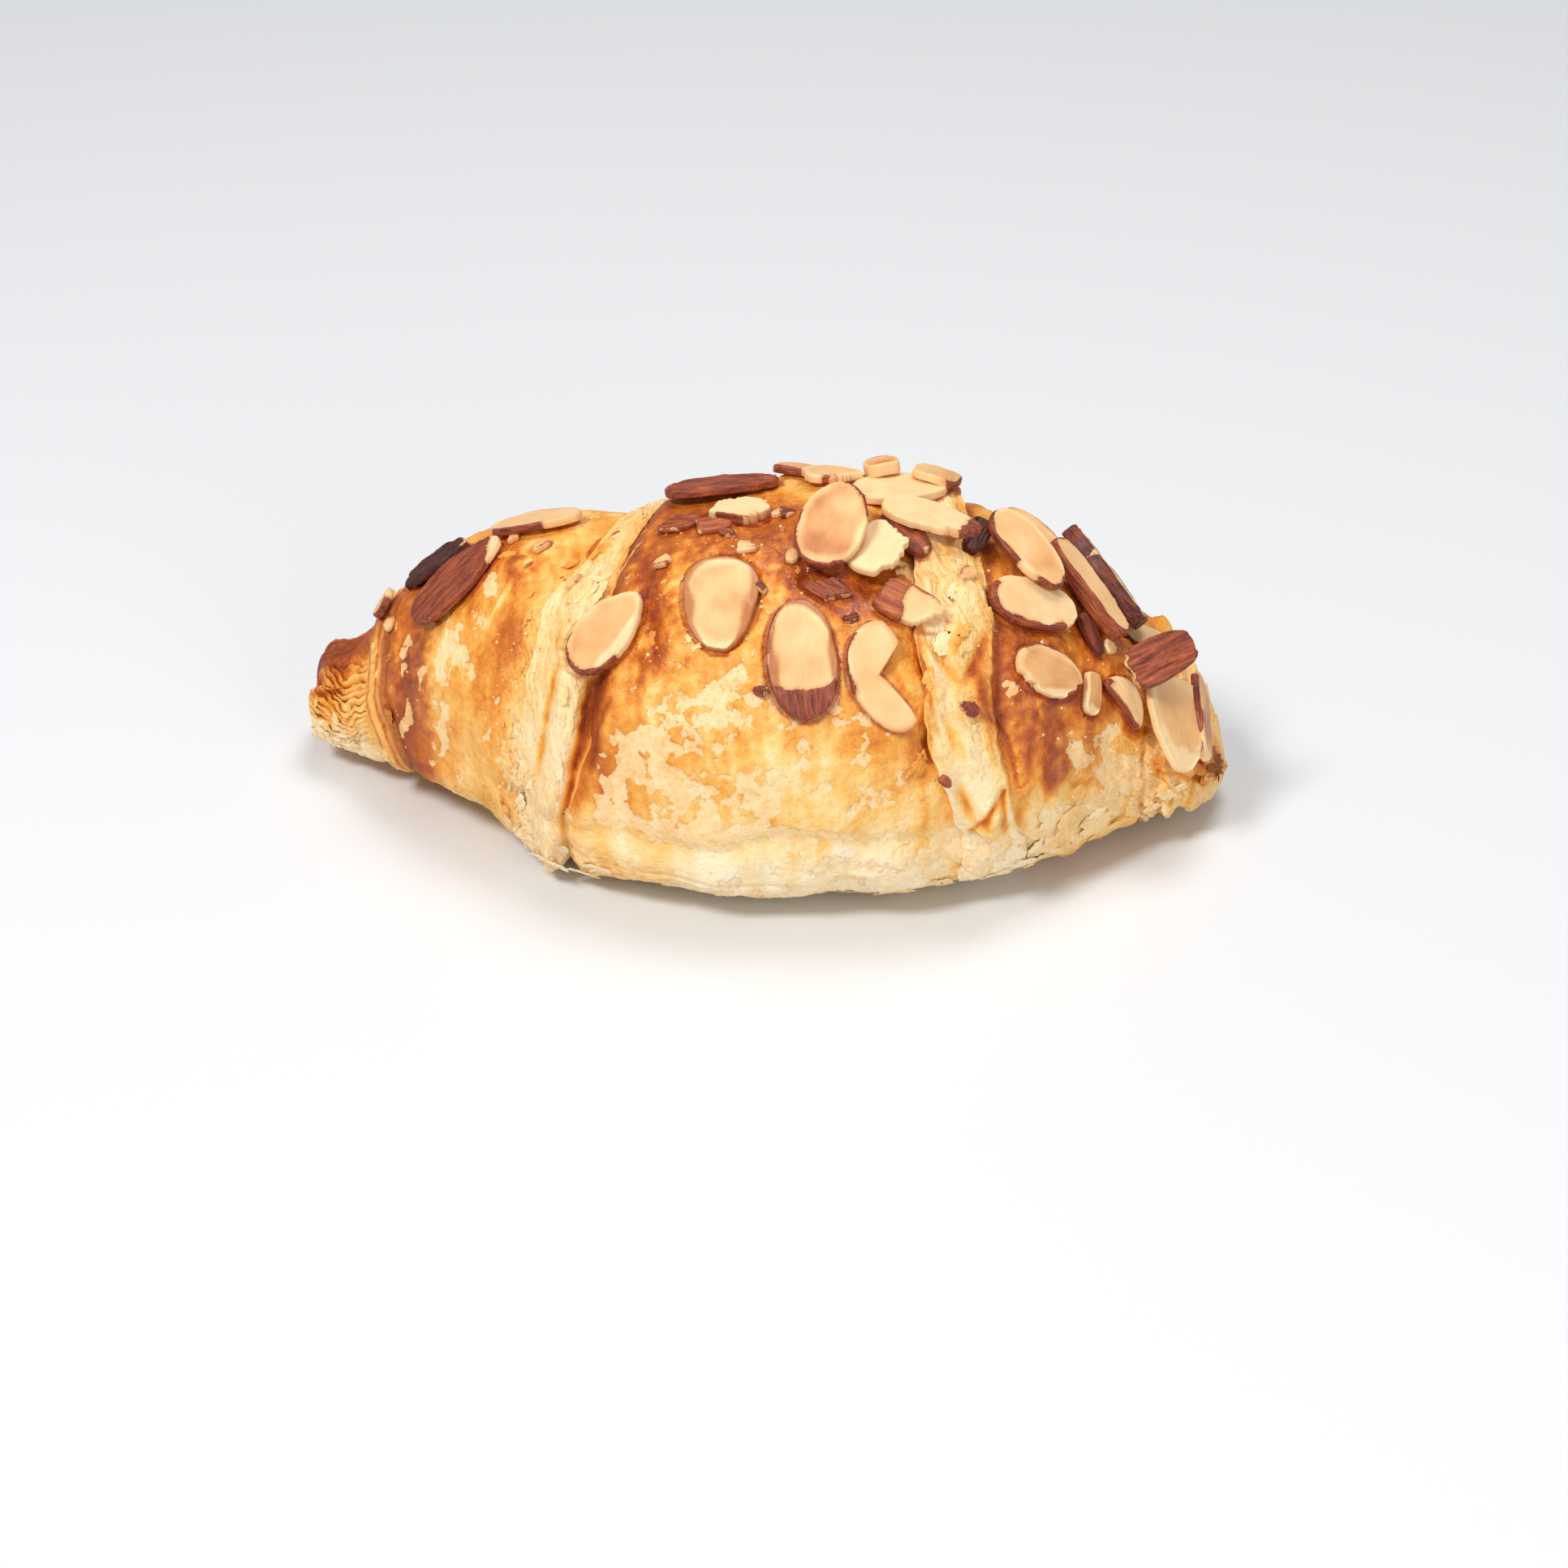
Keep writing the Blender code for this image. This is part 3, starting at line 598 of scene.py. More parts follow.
def seam_lines(angle):
    """x of every seam at an angle, from the left end to the right end."""
    degrees = np.degrees(angle)
    lines = []
    for number, values in enumerate(SEAMS.values()):
        ring = circle(SEAM_RING, angle, SEAM_RING_STEP * number)
        wander = uneven("seam", ring) + uneven("seam kinks", ring)
        lines.append(smooth_through(SEAM_ANGLES, values, degrees)
                     + SEAM_WANDER[number] * wander)
    notch, half_width, depth = TIP_NOTCH
    ring = circle(TIP_RING, angle)
    ragged = TIP_RAGGED * np.abs(uneven("tip edge", ring) + uneven("tip edge kinks", ring))
    left = LEFT_END + SURFACE_INSET + depth * bump(degrees, notch, half_width) + ragged
    left = left + UPPER_LOBE_SHORTER * window(degrees, *UPPER_LOBE)
    return [left, *lines, RIGHT_END + 0 * angle]


def loft_faces(rings, around):
    """Quads between rings of points, and a fan of triangles to a point at each end."""
    i, j = np.meshgrid(np.arange(rings - 1), np.arange(around), indexing="ij")
    k = (j + 1) % around
    quads = np.stack([i * around + j, (i + 1) * around + j, (i + 1) * around + k,
                      i * around + k], -1).reshape(-1, 4).tolist()
    first, last = rings * around, rings * around + 1
    j = np.arange(around)
    k = (j + 1) % around
    start_fan = np.stack([0 * j + first, j, k], -1).tolist()
    end_fan = np.stack([0 * j + last, (rings - 1) * around + k, (rings - 1) * around + j],
                       -1).tolist()
    return quads + start_fan + end_fan


# ---------------------------------------------------------------- the crust's fine surface

# Where the bake is dark or pale: x, half width, angle, half width, and how much darker
TOASTED = (
    (-84, 9, 84, 30, 0.72), (-82, 9, 24, 22, 0.02), (-80, 12, -25, 22, -0.46),
    (-65.5, 4.6, 20, 44, 0.42), (-64, 6, -12, 16, 0.26), (-56, 9, 44, 30, -0.06),
    (-62, 8, 80, 20, 0.26), (-60, 12, -30, 10, -0.22), (-47, 5, 26, 30, 0.14),
    (-34, 9, 5, 22, -0.10), (-53, 6, 66, 20, 0.14), (-48, 4, 84, 14, 0.12),
    (-51, 6, -6, 12, -0.06), (-43, 3.5, 46, 14, 0.22), (-38, 8, -32, 12, -0.30),
    (-18, 9, 84, 24, 0.22), (-18.5, 3.4, 56, 16, 0.18), (-8, 10, 88, 15, 0.30),
    (2, 8, 78, 14, 0.16), (8, 9, 64, 12, 0.30), (17, 8, 58, 11, 0.28), (28, 6, 70, 12, 0.16),
    (-8, 9, 38, 8, 0.12), (-24, 4, 14, 20, 0.16), (22, 8, 22, 9, 0.14), (14, 18, 8, 16, -0.08),
    (0, 38, -16, 11, -0.24), (4, 40, -36, 16, -0.34), (24, 9, -20, 9, -0.20),
    (-16, 9, 12, 8, 0.06), (50, 6, 30, 18, 0.26), (46, 5, 48, 12, 0.24), (52, 2.0, 10, 9, 0.16),
    (60, 6, 40, 14, 0.18), (54, 9, 74, 18, 0.30), (54, 16, -10, 18, -0.28),
    (39.5, 3, 30, 9, 0.24), (42.6, 2.2, -4, 5, 0.24), (46.8, 1.6, -3, 5, 0.24),
    (29.5, 2.4, 14, 7, 0.22), (75, 7, 34, 30, -0.02), (74, 9, -18, 22, -0.12),
    (81, 3, 28, 22, 0.44), (10, 22, 12, 9, -0.05), (36, 6, 86, 14, 0.12),
)
BROWN_FROM, BROWN_SPAN = 0.56, 0.26     # the bake darkens more and more slowly beyond this

# Folds and grooves of the crust: x and angle of both ends, half width, how much darker
# they are, partly darker bake and partly painted shade in the groove, and their depth
CREASES = (
    (28.0, 45, 30.3, 33, 0.5, 0.30, 0.5), (30.3, 33, 33.0, 21, 0.45, 0.22, 0.4),
    (30.3, 44, 34.7, 36, 1.0, 0.40, 0.6), (39.3, 48, 36.6, 35, 1.0, 0.34, 0.7),
    (38.6, 46, 38.2, 39, 1.0, 0.20, -0.3), (38.2, 39, 40.6, 28, 1.3, 0.22, -0.4),
    (33.6, 26, 36.0, 16, 0.6, 0.22, 0.3), (35.6, 24, 37.6, 12, 0.5, 0.16, 0.3),
    (40.6, 28, 44.1, 22, 0.5, 0.20, 0.3), (44.1, 22, 46.8, 5, 0.5, 0.24, 0.4),
    (43.9, 8, 38.4, -7, 0.7, 0.46, 1.1), (38.4, -7, 44.6, -11, 0.6, 0.34, 0.8),
    (43.9, 8, 44.9, -10, 0.6, 0.38, 1.0), (36.6, 8, 38.3, -1, 1.1, 0.44, 0.6),
    (-26.5, 35, -28.0, 27, 1.4, 0.46, 0.8), (-28.0, 27, -29.4, 19, 1.4, 0.48, 0.8),
    (-29.4, 19, -31.1, 9, 1.3, 0.44, 0.8), (-31.1, 9, -32.5, -4, 0.8, 0.28, 0.6),
    (-24.4, 29, -26.5, 20, 0.5, 0.20, 0.3), (-26.5, 20, -27.6, 10, 0.5, 0.20, 0.3),
    (-34.4, 38, -36.2, 22, 0.9, 0.40, 0.7), (-36.2, 22, -38.1, 5, 0.9, 0.42, 0.7),
    (-49.6, 47, -46.2, 64, 0.4, -0.20, -0.25), (-20.6, 69, -17.9, 51, 1.5, 0.32, 0.2),
    (-17.9, 51, -16.2, 37, 1.3, 0.30, 0.2), (66.6, 11, 64.2, -16, 0.6, 0.14, 0.7),
    (70.0, 14, 72.6, 0, 0.6, 0.14, 0.6), (72.6, 0, 74.1, -30, 0.6, 0.24, 0.7),
    (78.0, 20, 75.8, -18, 0.6, 0.26, 0.6), (81.6, 34, 76.8, 48, 0.6, 0.34, 0.5),
    (81.4, 28, 76.0, 36, 0.5, 0.34, 0.5), (80.6, 16, 74.0, 24, 0.5, 0.28, 0.5),
    (79.5, 4, 71.0, 10, 0.6, 0.24, 0.6), (77.0, -12, 66.0, -4, 0.6, 0.24, 0.6),
    (73.0, -24, 60.0, -14, 0.6, 0.20, 0.6), (68.0, 2, 62.0, 16, 0.5, 0.18, 0.5),
    (58.4, -10, 52.9, -17, 0.6, 0.08, 0.6), (58.0, -22, 70.0, -26, 0.6, 0.10, 0.6),
    (-88.0, 24, -78.0, 36, 0.5, 0.20, 0.5), (-86.0, 62, -79.0, 50, 0.5, 0.12, 0.5),
    (-87.0, -2, -77.0, 8, 0.5, 0.16, 0.4), (-20.0, -20, 10.0, -22, 0.5, 0.06, 0.4),
    (14.0, -26, 38.0, -20, 0.5, 0.08, 0.5), (33.0, -14, 40.0, -26, 0.5, 0.08, 0.5),
)
CREASE_ENDS = 0.55          # share of a crease that is left at its ends

# The bake of each zone by itself, from 0, cream, to 1, dark brown
ZONE_TOAST = (0.44, 0.34, 0.40, 0.12, 0.40, 0.10, 0.42, 0.30)

# Where the topmost layer has flaked off: x, half width, angle, half width, how surely
FLAKED = (
    (-65.2, 1.3, 13, 8, 0.85), (-66.6, 1.0, 5, 6, 0.7), (-57.5, 2.0, 10, 11, 0.9),
    (-56.5, 3.6, 39, 12, 0.95), (-67.2, 1.1, 44, 10, 0.8), (-62.5, 1.2, 27, 6, 0.5),
    (-66.0, 0.9, 30, 5, 0.6), (-55, 1.4, -14, 5, 0.7), (-60, 1.2, -8, 4, 0.5),
    (-49.5, 1.8, 66, 7, 0.95), (-50, 2.0, 48, 5, 0.6), (-52, 1.4, 30, 6, 0.6),
    (-41, 2.2, 18, 24, 0.5), (-44, 2, 2, 9, 0.5), (-40, 4, -8, 14, 0.5), (-46, 1.6, 26, 6, 0.5),
    (-48, 1.2, 14, 5, 0.5), (-8, 10, 27, 8, 0.66), (-14, 12, 14, 9, 0.50), (3, 4.5, 6, 7, 0.95),
    (-20, 3.2, 15, 5, 0.8), (-13, 3, 6, 5, 0.7), (-24, 3, 2, 7, 0.7), (-6, 3, 3, 4, 0.6),
    (20, 3.6, 4, 3.5, 0.9), (13, 1.6, 7, 3, 0.8), (10, 1.5, 16, 3, 0.6), (14, 12, 24, 7, 0.46),
    (20, 2.5, 14, 4, 0.6), (27, 3, 10, 10, 0.5), (-16, 14, -4, 4, 0.85), (2, 10, -4, 3, 0.7),
    (14, 14, -7, 3, 0.6), (-10, 6, -9, 4, 0.6), (12, 16, 32, 5, 0.40), (-24, 4, 80, 14, 0.30),
    (-12, 4, 60, 6, 0.4), (4, 3, 74, 6, 0.3), (27, 5, 66, 9, 0.7), (33, 6, 62, 10, 0.6),
    (37, 3, 54, 6, 0.6), (55.8, 1.5, 18, 8, 0.9), (48.5, 2.0, 40, 5, 0.8),
    (44.5, 1.6, 34, 4, 0.6), (61, 3, 25, 7, 0.55), (58, 9, 0, 9, 0.50), (52, 12, -12, 8, 0.60),
    (63, 4, 12, 8, 0.5), (-30, 8, -24, 6, 0.5), (-4, 12, -22, 5, 0.45), (20, 10, -16, 5, 0.65),
    (34, 6, -12, 6, 0.6), (40, 5, -22, 6, 0.6), (8, 20, -30, 5, 0.4), (-34, 3, 60, 8, 0.4),
    (-5, 5, 44, 4, 0.5), (58, 3, 76, 8, 0.4), (66, 4, 10, 14, 0.5), (74, 8, -5, 16, 0.34),
    (-79, 6, -10, 16, 0.5),
)
FLAKE_LEVEL = -0.50         # how far the rest of the crust is from flaking
FLAKE_EDGE = 0.035          # how far to both sides of its edge a flake's step reaches
FLAKE_STEP = 0.17           # mm that the crust is lower where a layer has gone
FLAKE_LIFT = (-0.08, 0.045, 0.05)       # the edge stands up: where, half width, height
CHIPPED, CHIP_CELLS = 0.26, (1.7, 3)    # how much small cells show in flaking, their size
LEAFED, LEAF_CELLS = 0.24, (3.6, 4)     # and large ones
LEAF_STRETCH = np.array([0.8, 1.0, 1.2])

# Dry layered crumb without glaze: x, half width, angle, half width, amount
CRUMB = (
    (-41, 2.0, 15, 34, 0.6), (-38, 6, -12, 16, 0.6), (-20, 16, -22, 9, 0.45),
    (-34, 10, -20, 10, 0.7), (52, 12, -20, 10, 0.7), (64, 8, -8, 12, 0.6), (76, 8, 0, 26, 0.8),
    (-79, 7, -18, 18, 0.8), (34, 6, 66, 12, 0.5), (-48, 5, -20, 10, 0.5), (10, 30, -34, 7, 0.3),
    (24, 8, -20, 7, 0.4),
)
ZONE_CRUMB = (0.0, 0.45, 0.0, 0.85, 0.0, 0.85, 0.0, 0.5)
CRUMB_DULLS = 0.85          # share of the glaze that is gone there

# Islands of the glazed top layer that are left: x, half width, angle, half width, bake
ISLANDS = (
    (-45.0, 2.2, 72, 8, 0.10), (-60.5, 2.2, 62, 12, 0.06), (42.6, 3.0, 0, 6, 0.04),
    (52.5, 2.4, 12, 9, 0.10), (-30.5, 2.0, 84, 8, 0.18), (34.0, 1.4, 46, 6, 0.20),
    (66.0, 3.0, 30, 6, 0.14), (72.0, 2.5, 12, 6, 0.12), (-34.0, 1.0, 44, 8, 0.16),
    (30.0, 1.6, 22, 7, 0.18), (58.0, 3.0, 4, 5, 0.08),
)
ISLAND_EDGE = (0.40, 0.50)  # how far the hills of an island reach
ISLAND_GLAZE, ISLAND_WHOLE, ISLAND_HEIGHT = 0.7, 0.6, 0.30

# Shine of the glaze: x, half width, angle, half width, amount
GLAZED = (
    (-84, 8, 76, 26, 0.55), (-64, 10, 35, 40, 0.9), (-44, 5, 78, 14, 0.9), (-10, 22, 72, 26, 0.8),
    (-18, 5, 46, 16, 0.9), (16, 16, 62, 20, 0.8), (50, 9, 34, 24, 1.0), (60, 9, 60, 20, 0.6),
    (6, 30, 20, 16, 0.35),
)

# Sugar that ran down and set in drips: x, angle, and half width
DRIPS = ((51.0, 12.0, 1.0), (54.2, 17.0, 0.8), (48.0, 20.0, 1.1), (-19.0, 34.0, 0.9))
DRIP_LENGTH = 9.0           # degrees
DRIP_BAKE = 0.22

STREAK_SLANT, STREAK_STRETCH = 0.12, 0.2        # streaks of bake that run round the roll

# Darkening along the seams and across the bands, partly bake and partly painted shade in
# their grooves: zone, measured from, place, half width, angles between which it sets in,
# and how much darker
ALL_OVER = (-360, -270)
BAND_GROOVE, GROOVE_ANGLES = (0.91, 0.11), (46, 26)
BAND_HIGH = (8, 30)         # angles between which the upper part of the right band begins
SEAM_BAKE_AND_SHADE = (
    (COLLAR, "from_right", 0.3, 0.8, ALL_OVER, 0.50),
    (LEFT_PART, "from_left", 0.0, 1.2, ALL_OVER, 0.16),
    (LEFT_BAND, "share", *BAND_GROOVE, GROOVE_ANGLES, 0.36),
    (LEFT_BAND, "share", 1.0, 0.12, GROOVE_ANGLES[::-1], 0.22),
    (LEFT_BAND, "share", 0.25, 0.14, GROOVE_ANGLES[::-1], 0.14),
    (MIDDLE, "from_left", 0.8, 1.7, (-14, 6), 0.30),
    (RIGHT_BAND, "from_left", 0.8, 0.8, BAND_HIGH, 0.26),
    (RIGHT_BAND, "from_right", 1.2, 1.5, BAND_HIGH, 0.30),
    (RIGHT_PART, "from_left", 0.8, 1.2, (14, 30), 0.20),
    (RIGHT_TIP, "from_left", 0.0, 0.8, ALL_OVER, 0.14),
)
GROOVE_CLEAN = 0.95         # share of the crumb that is gone in the left band's groove
BAND_LOW_BAKE, BAND_LOW_CRUMB = 0.06, 0.40      # of the lower part of the right band
COLLAR_LINES = (9.4, 0.6, 6)        # between the strips: how close, where, how narrow
COLLAR_LINE_BAKE = 0.26
RAGGED_SHARE, RAGGED_ANGLES = (0.80, 0.97), (66, 48)        # the left segment's torn edge
RAGGED_CRUMB, RAGGED_PALER = 0.7, 0.10
LIP_ANGLES, LIP_REACH, LIP_CRUMB = (-13, -22), (-12, -26), 0.95     # pale lip of the middle

# The layers of the rolled tip, nested in chevrons
CHEVRON_POINT = -80.6       # x of their points
CHEVRON_LEFT, CHEVRON_RIGHT = 0.62, 0.42        # how steeply they rise on either side
CHEVRON_STEP = 1.55         # mm from one layer to the next
CHEVRON_ANGLES, CHEVRON_REACH = (-24, -8, 50, 66), (-88.8, -87.4, -76.0, -74.0)
CHEVRON_PALE = (0.75, 0.3, 0.16)    # each layer's pale edge: where, half width, how much
CHEVRON_HEIGHT = 0.60
SLIT_WIDTH, SLIT_LEAST = 0.20, 0.05     # of a layer
SLIT_GAPS, SLIT_GRAIN = (-0.20, 0.0), (2.5, 14.0)       # where slits stop; mm and degrees
SLIT_DEPTH = 0.5

# Torn layers of dry dough: how they slant in each zone, and for bands and other zones their
# width, length, height of the steps and of the crumb on them
LAYER_SLANT = (0.0, 0.0, 0.15, 0.10, 0.0, 0.32, 0.0, 0.0)
BAND_LAYERS, OTHER_LAYERS = (1.1, 18.0, 0.5, 0.06), (1.9, 12.0, 0.75, 0.16)
RIGHT_SLANT = 0.5           # the right segment's layers run aslant
LAYER_COUNT = 2.6
LAYER_RISE, LAYER_EDGE = (0.66, 1.0), (0.83, 0.14)      # within one step
FIBRE_WIDTH, FIBRE_LENGTH, FIBRE_HEIGHT = 0.6, 8.0, 0.16
LEAF_CRACKS = (2.8, 54)     # cells of the left segment's crumb
LEAF_CRACK_STRETCH, LEAF_CRACK_WIDTH, LEAF_CRACK_DEPTH = np.array([1, 0.6, 0.6]), 0.10, 0.4

# Wrinkles and lumps of each zone, in mm
WRINKLES = (0.22, 0.10, 0.20, 0.10, 0.12, 0.12, 0.20, 0.20)
LUMPS = (0.30, 0.0, 0.0, 0.0, 0.0, 0.0, 0.12, 0.75)
WRINKLE_WIDTH, WRINKLE_LENGTH = 1.8, 7.0
WRINKLE_BEND, WRINKLE_GLAZED = 0.5, 0.6     # share of its height lost under glaze
BLISTERS, BLISTER_PLACES = (1.9, 43), (-0.3, 0.15)
BLISTER_HEIGHT, BLISTER_FOOT = 0.60, 0.2
DETAIL_FROM = (-64, -44)    # angles, up from the floor, over which the detail sets in

BAND_MERGE = 0.8            # share of the seams' relief lost where the right band runs out
BAND_MERGE_ANGLES = (16, -6)
BAND_MERGE_REACH = 4.0


def torn(field, count):
    """Steps like the edges of torn sheets, and how near each point is to such an edge."""
    step = field * count
    base = np.floor(step)
    part = step - base
    return (base + ease(part, *LAYER_RISE)) / count, bump(part, *LAYER_EDGE)


class Crust:
    """A stretch of the crust's surface, with what is painted on it."""

    def __init__(self, number, share, angle):
        self.number = number
        lines = seam_lines(angle)
        self.width = lines[number + 1] - lines[number]
        self.share = share + 0 * angle
        self.x = lines[number] + self.share * self.width
        self.angle = angle + 0 * self.x
        self.degrees = np.degrees(self.angle)
        self.from_left = self.share * self.width
        self.from_right = (1 - self.share) * self.width
        self.end = np.minimum(self.x - lines[0], lines[-1] - self.x)
        self.plain = plain_radius(self.x, self.angle)
        self.around = self.angle * self.plain
        self.spots = at_radius(self.x, self.angle, self.plain)
        self.near_x = self.x + uneven("places along", self.spots)
        self.near_degrees = self.degrees + uneven("places round", self.spots)
        self.paint()
        self.layer()
        self.shape()

    def paint(self):
        x, degrees, spots = self.near_x, self.near_degrees, self.spots
        bent = spots + uneven("chips bent", spots)[..., None]
        _, _, chip = cells(bent, *CHIP_CELLS)
        _, _, leaf = cells(bent * LEAF_STRETCH, *LEAF_CELLS)
        self.flake = FLAKE_LEVEL + hills(FLAKED, x, degrees) + uneven("flaking", spots)
        self.flake += CHIPPED * (chip - 0.5) + LEAFED * (leaf - 0.5)
        self.crumb = np.clip(ZONE_CRUMB[self.number] + hills(CRUMB, x, degrees), 0, 1)
        self.glaze = np.clip(hills(GLAZED, x, degrees), 0, 1) * (1 - CRUMB_DULLS * self.crumb)
        streaks = np.stack([self.x + STREAK_SLANT * self.around, STREAK_STRETCH * self.around,
                            0 * self.x], -1) + uneven("streaks bent", spots)[..., None]
        self.toast = ZONE_TOAST[self.number] + hills(TOASTED, x, degrees)
        self.toast += uneven("bake", spots) + uneven("streaks", streaks)
        self.crack = np.zeros_like(self.toast)
        self.nested = np.zeros_like(self.toast)
        # Darker lines along the seams: bake, and painted shade in their grooves
        for zone, measure, place, half_width, angles, darker in SEAM_BAKE_AND_SHADE:
            if zone == self.number:
                line = bump(getattr(self, measure), place, half_width)
                self.toast += darker * line * ease(self.degrees, *angles)
        if self.number in PAINTERS:
            PAINTERS[self.number](self)
        self.paint_islands()
        self.toast += self.glaze * uneven("glaze blotches", spots)
        for place, direction, half_width in DRIPS:
            wide = half_width * (1 + uneven("drip widths", spots))
            drip = bump(self.x, place, wide) * bump(self.degrees, direction, DRIP_LENGTH)
            self.toast += DRIP_BAKE * drip
        self.crease()
        over = np.clip(self.toast - BROWN_FROM, 0, None)
        browner = BROWN_SPAN * (1 - np.exp(-over / BROWN_SPAN))
        self.toast = np.clip(np.minimum(self.toast, BROWN_FROM) + browner, 0, 1)

    def paint_islands(self):
        self.island = np.zeros_like(self.toast)
        edges = uneven("island edges", self.spots)
        for *where, bake in ISLANDS:
            island = hills(((*where, 1.0),), self.near_x, self.near_degrees) + edges
            island = ease(island, *ISLAND_EDGE)
            self.island = np.maximum(self.island, island)
            self.toast += bake * island
        self.crumb *= 1 - self.island
        self.glaze = np.maximum(self.glaze, ISLAND_GLAZE * self.island)
        self.flake -= ISLAND_WHOLE * self.island

    def crease(self):
        """Folds and grooves: their darkening, partly bake and partly painted shade, and how deep
        they lie.
        """
        self.sunk = np.zeros_like(self.toast)
        wander = uneven("creases", self.spots)
        millimetres = np.radians(1) * self.plain
        for x_from, angle_from, x_to, angle_to, half_width, darker, depth in CREASES:
            across, along = x_to - x_from, (angle_to - angle_from) * millimetres
            from_x, from_angle = self.x - x_from, (self.degrees - angle_from) * millimetres
            share = (from_x * across + from_angle * along) / (across ** 2 + along ** 2)
            share = np.clip(share, 0, 1)
            away = np.hypot(from_x - share * across, from_angle - share * along)
            line = CREASE_ENDS + (1 - CREASE_ENDS) * np.sin(np.pi * share)
            line = line * bump(away + wander, 0, half_width)
            # Darker along the crease: bake, and painted shade in the groove
            self.toast += darker * line
            self.sunk += depth * line
            self.crumb *= 1 - line * (darker > 0)

    def paint_tip(self):
        """The layers of the rolled tip lie in each other, in chevrons that point down."""
        beside = self.x - CHEVRON_POINT
        slope = np.where(beside < 0, CHEVRON_LEFT, CHEVRON_RIGHT) * np.abs(beside)
        climb = self.around + uneven("chevrons", self.spots)
        climb = climb + uneven("chevron kinks", self.spots)
        part = ((climb - slope) / CHEVRON_STEP) % 1
        wide = SLIT_WIDTH + uneven("slit widths", self.spots)
        slit = np.clip(1 - part / np.maximum(wide, SLIT_LEAST), 0, 1)
        grain_x, grain_degrees = SLIT_GRAIN
        places = np.stack([self.x / grain_x, self.degrees / grain_degrees, 0 * self.x], -1)
        here = window(self.degrees, *CHEVRON_ANGLES) * window(self.x, *CHEVRON_REACH)
        # Slits between the layers: sunk into the crust, and painted dark as the shade inside them
        self.crack = slit * ease(uneven("slit gaps", places), *SLIT_GAPS) * here
        self.nested = here * (part - 0.5)
        where, half_width, paler = CHEVRON_PALE
        self.toast -= paler * here * bump(part, where, half_width)

    def paint_collar(self):
        close, start, narrow = COLLAR_LINES
        self.toast += COLLAR_LINE_BAKE * np.sin(self.share * close + start) ** narrow

    def paint_left_part(self):
        ragged = ease(self.share, *RAGGED_SHARE) * ease(self.degrees, *RAGGED_ANGLES)
        self.crumb = np.maximum(self.crumb, RAGGED_CRUMB * ragged)
        self.toast -= RAGGED_PALER * ragged

    def paint_left_band(self):
        groove = bump(self.share, *BAND_GROOVE) * ease(self.degrees, *GROOVE_ANGLES)
        self.crumb *= 1 - GROOVE_CLEAN * groove

    def paint_middle(self):
        lip = ease(self.degrees, *LIP_ANGLES) * ease(self.x, *LIP_REACH)
        self.crumb = np.maximum(self.crumb, LIP_CRUMB * lip)

    def paint_right_band(self):
        high = ease(self.degrees, *BAND_HIGH)
        self.toast += BAND_LOW_BAKE * (1 - high)
        self.crumb *= BAND_LOW_CRUMB + (1 - BAND_LOW_CRUMB) * high

    def layer(self):
        """Torn, fibrous layers of dry dough, in mm, and where their edges show."""
        along = self.around
        across = self.from_left + LAYER_SLANT[self.number] * along
        if self.number == MIDDLE:       # the foot's layers run along the roll
            across, along = along, self.x
        if self.number in (RIGHT_PART, RIGHT_TIP):
            across, along = along + RIGHT_SLANT * self.x, self.x - RIGHT_SLANT * along
        self.grain = np.stack([across + uneven("layers bent", self.spots), along, 0 * across],
                              -1)
        is_band = self.number in (LEFT_BAND, RIGHT_BAND)
        wide, long, step_height, coarse = BAND_LAYERS if is_band else OTHER_LAYERS
        field = uneven("layers", self.grain / np.array([wide, long, 1.0]))
        steps, edge = torn(field + uneven("torn layers", self.spots), LAYER_COUNT)
        fibre = ridged("fibres", self.grain / np.array([FIBRE_WIDTH, FIBRE_LENGTH, 1.0]))
        height = step_height * steps + FIBRE_HEIGHT * fibre
        height += coarse * uneven("coarse crumb", self.spots)
        if self.number == LEFT_PART:
            near, next_near, _ = cells(self.spots * LEAF_CRACK_STRETCH, *LEAF_CRACKS)
            height -= LEAF_CRACK_DEPTH * (1 - ease(next_near - near, 0.0, LEAF_CRACK_WIDTH))
        self.layers = height * self.crumb
        self.edge = edge * self.crumb

    def shape(self):
        zone = ZONES[self.number]
        relief = zone_relief(zone, self.share, self.width, self.angle)
        relief = relief * (1 - BAND_MERGE * self.merging())
        relief += unevenness(self.x, self.angle) + tip_relief(self.x, self.degrees)
        relief += foot_relief(self.x, self.degrees)
        relief += hills(FOLDS, self.x, self.degrees)
        relief += hills(PINCHES, self.near_x, self.near_degrees)
        strength = END_RELIEF + (1 - END_RELIEF) * ease(self.end, 0, END_FADE)
        upright = 1 - UNDERSIDE_CALM * ease(-np.sin(self.angle), *UNDERSIDE_FROM)
        relief = relief * strength * upright + self.detail()
        rear, half_width, tuck = REAR_TUCK
        relief -= tuck * bump(self.degrees, rear, half_width)
        self.radius = self.plain + relief - SURFACE_INSET
        closing = (1 - np.clip(1 - self.end / END_ROUND, 0, 1) ** END_POWER) ** (1 / END_POWER)
        self.points = at_radius(self.x, self.angle, self.radius * closing)

    def merging(self):
        """Where, low on the front, the right band runs into its neighbours."""
        low = ease(self.degrees, *BAND_MERGE_ANGLES)
        if self.number == MIDDLE:
            return low * bump(self.from_right, 0, BAND_MERGE_REACH)
        if self.number == RIGHT_PART:
            return low * bump(self.from_left, 0, BAND_MERGE_REACH)
        return low if self.number == RIGHT_BAND else 0.0

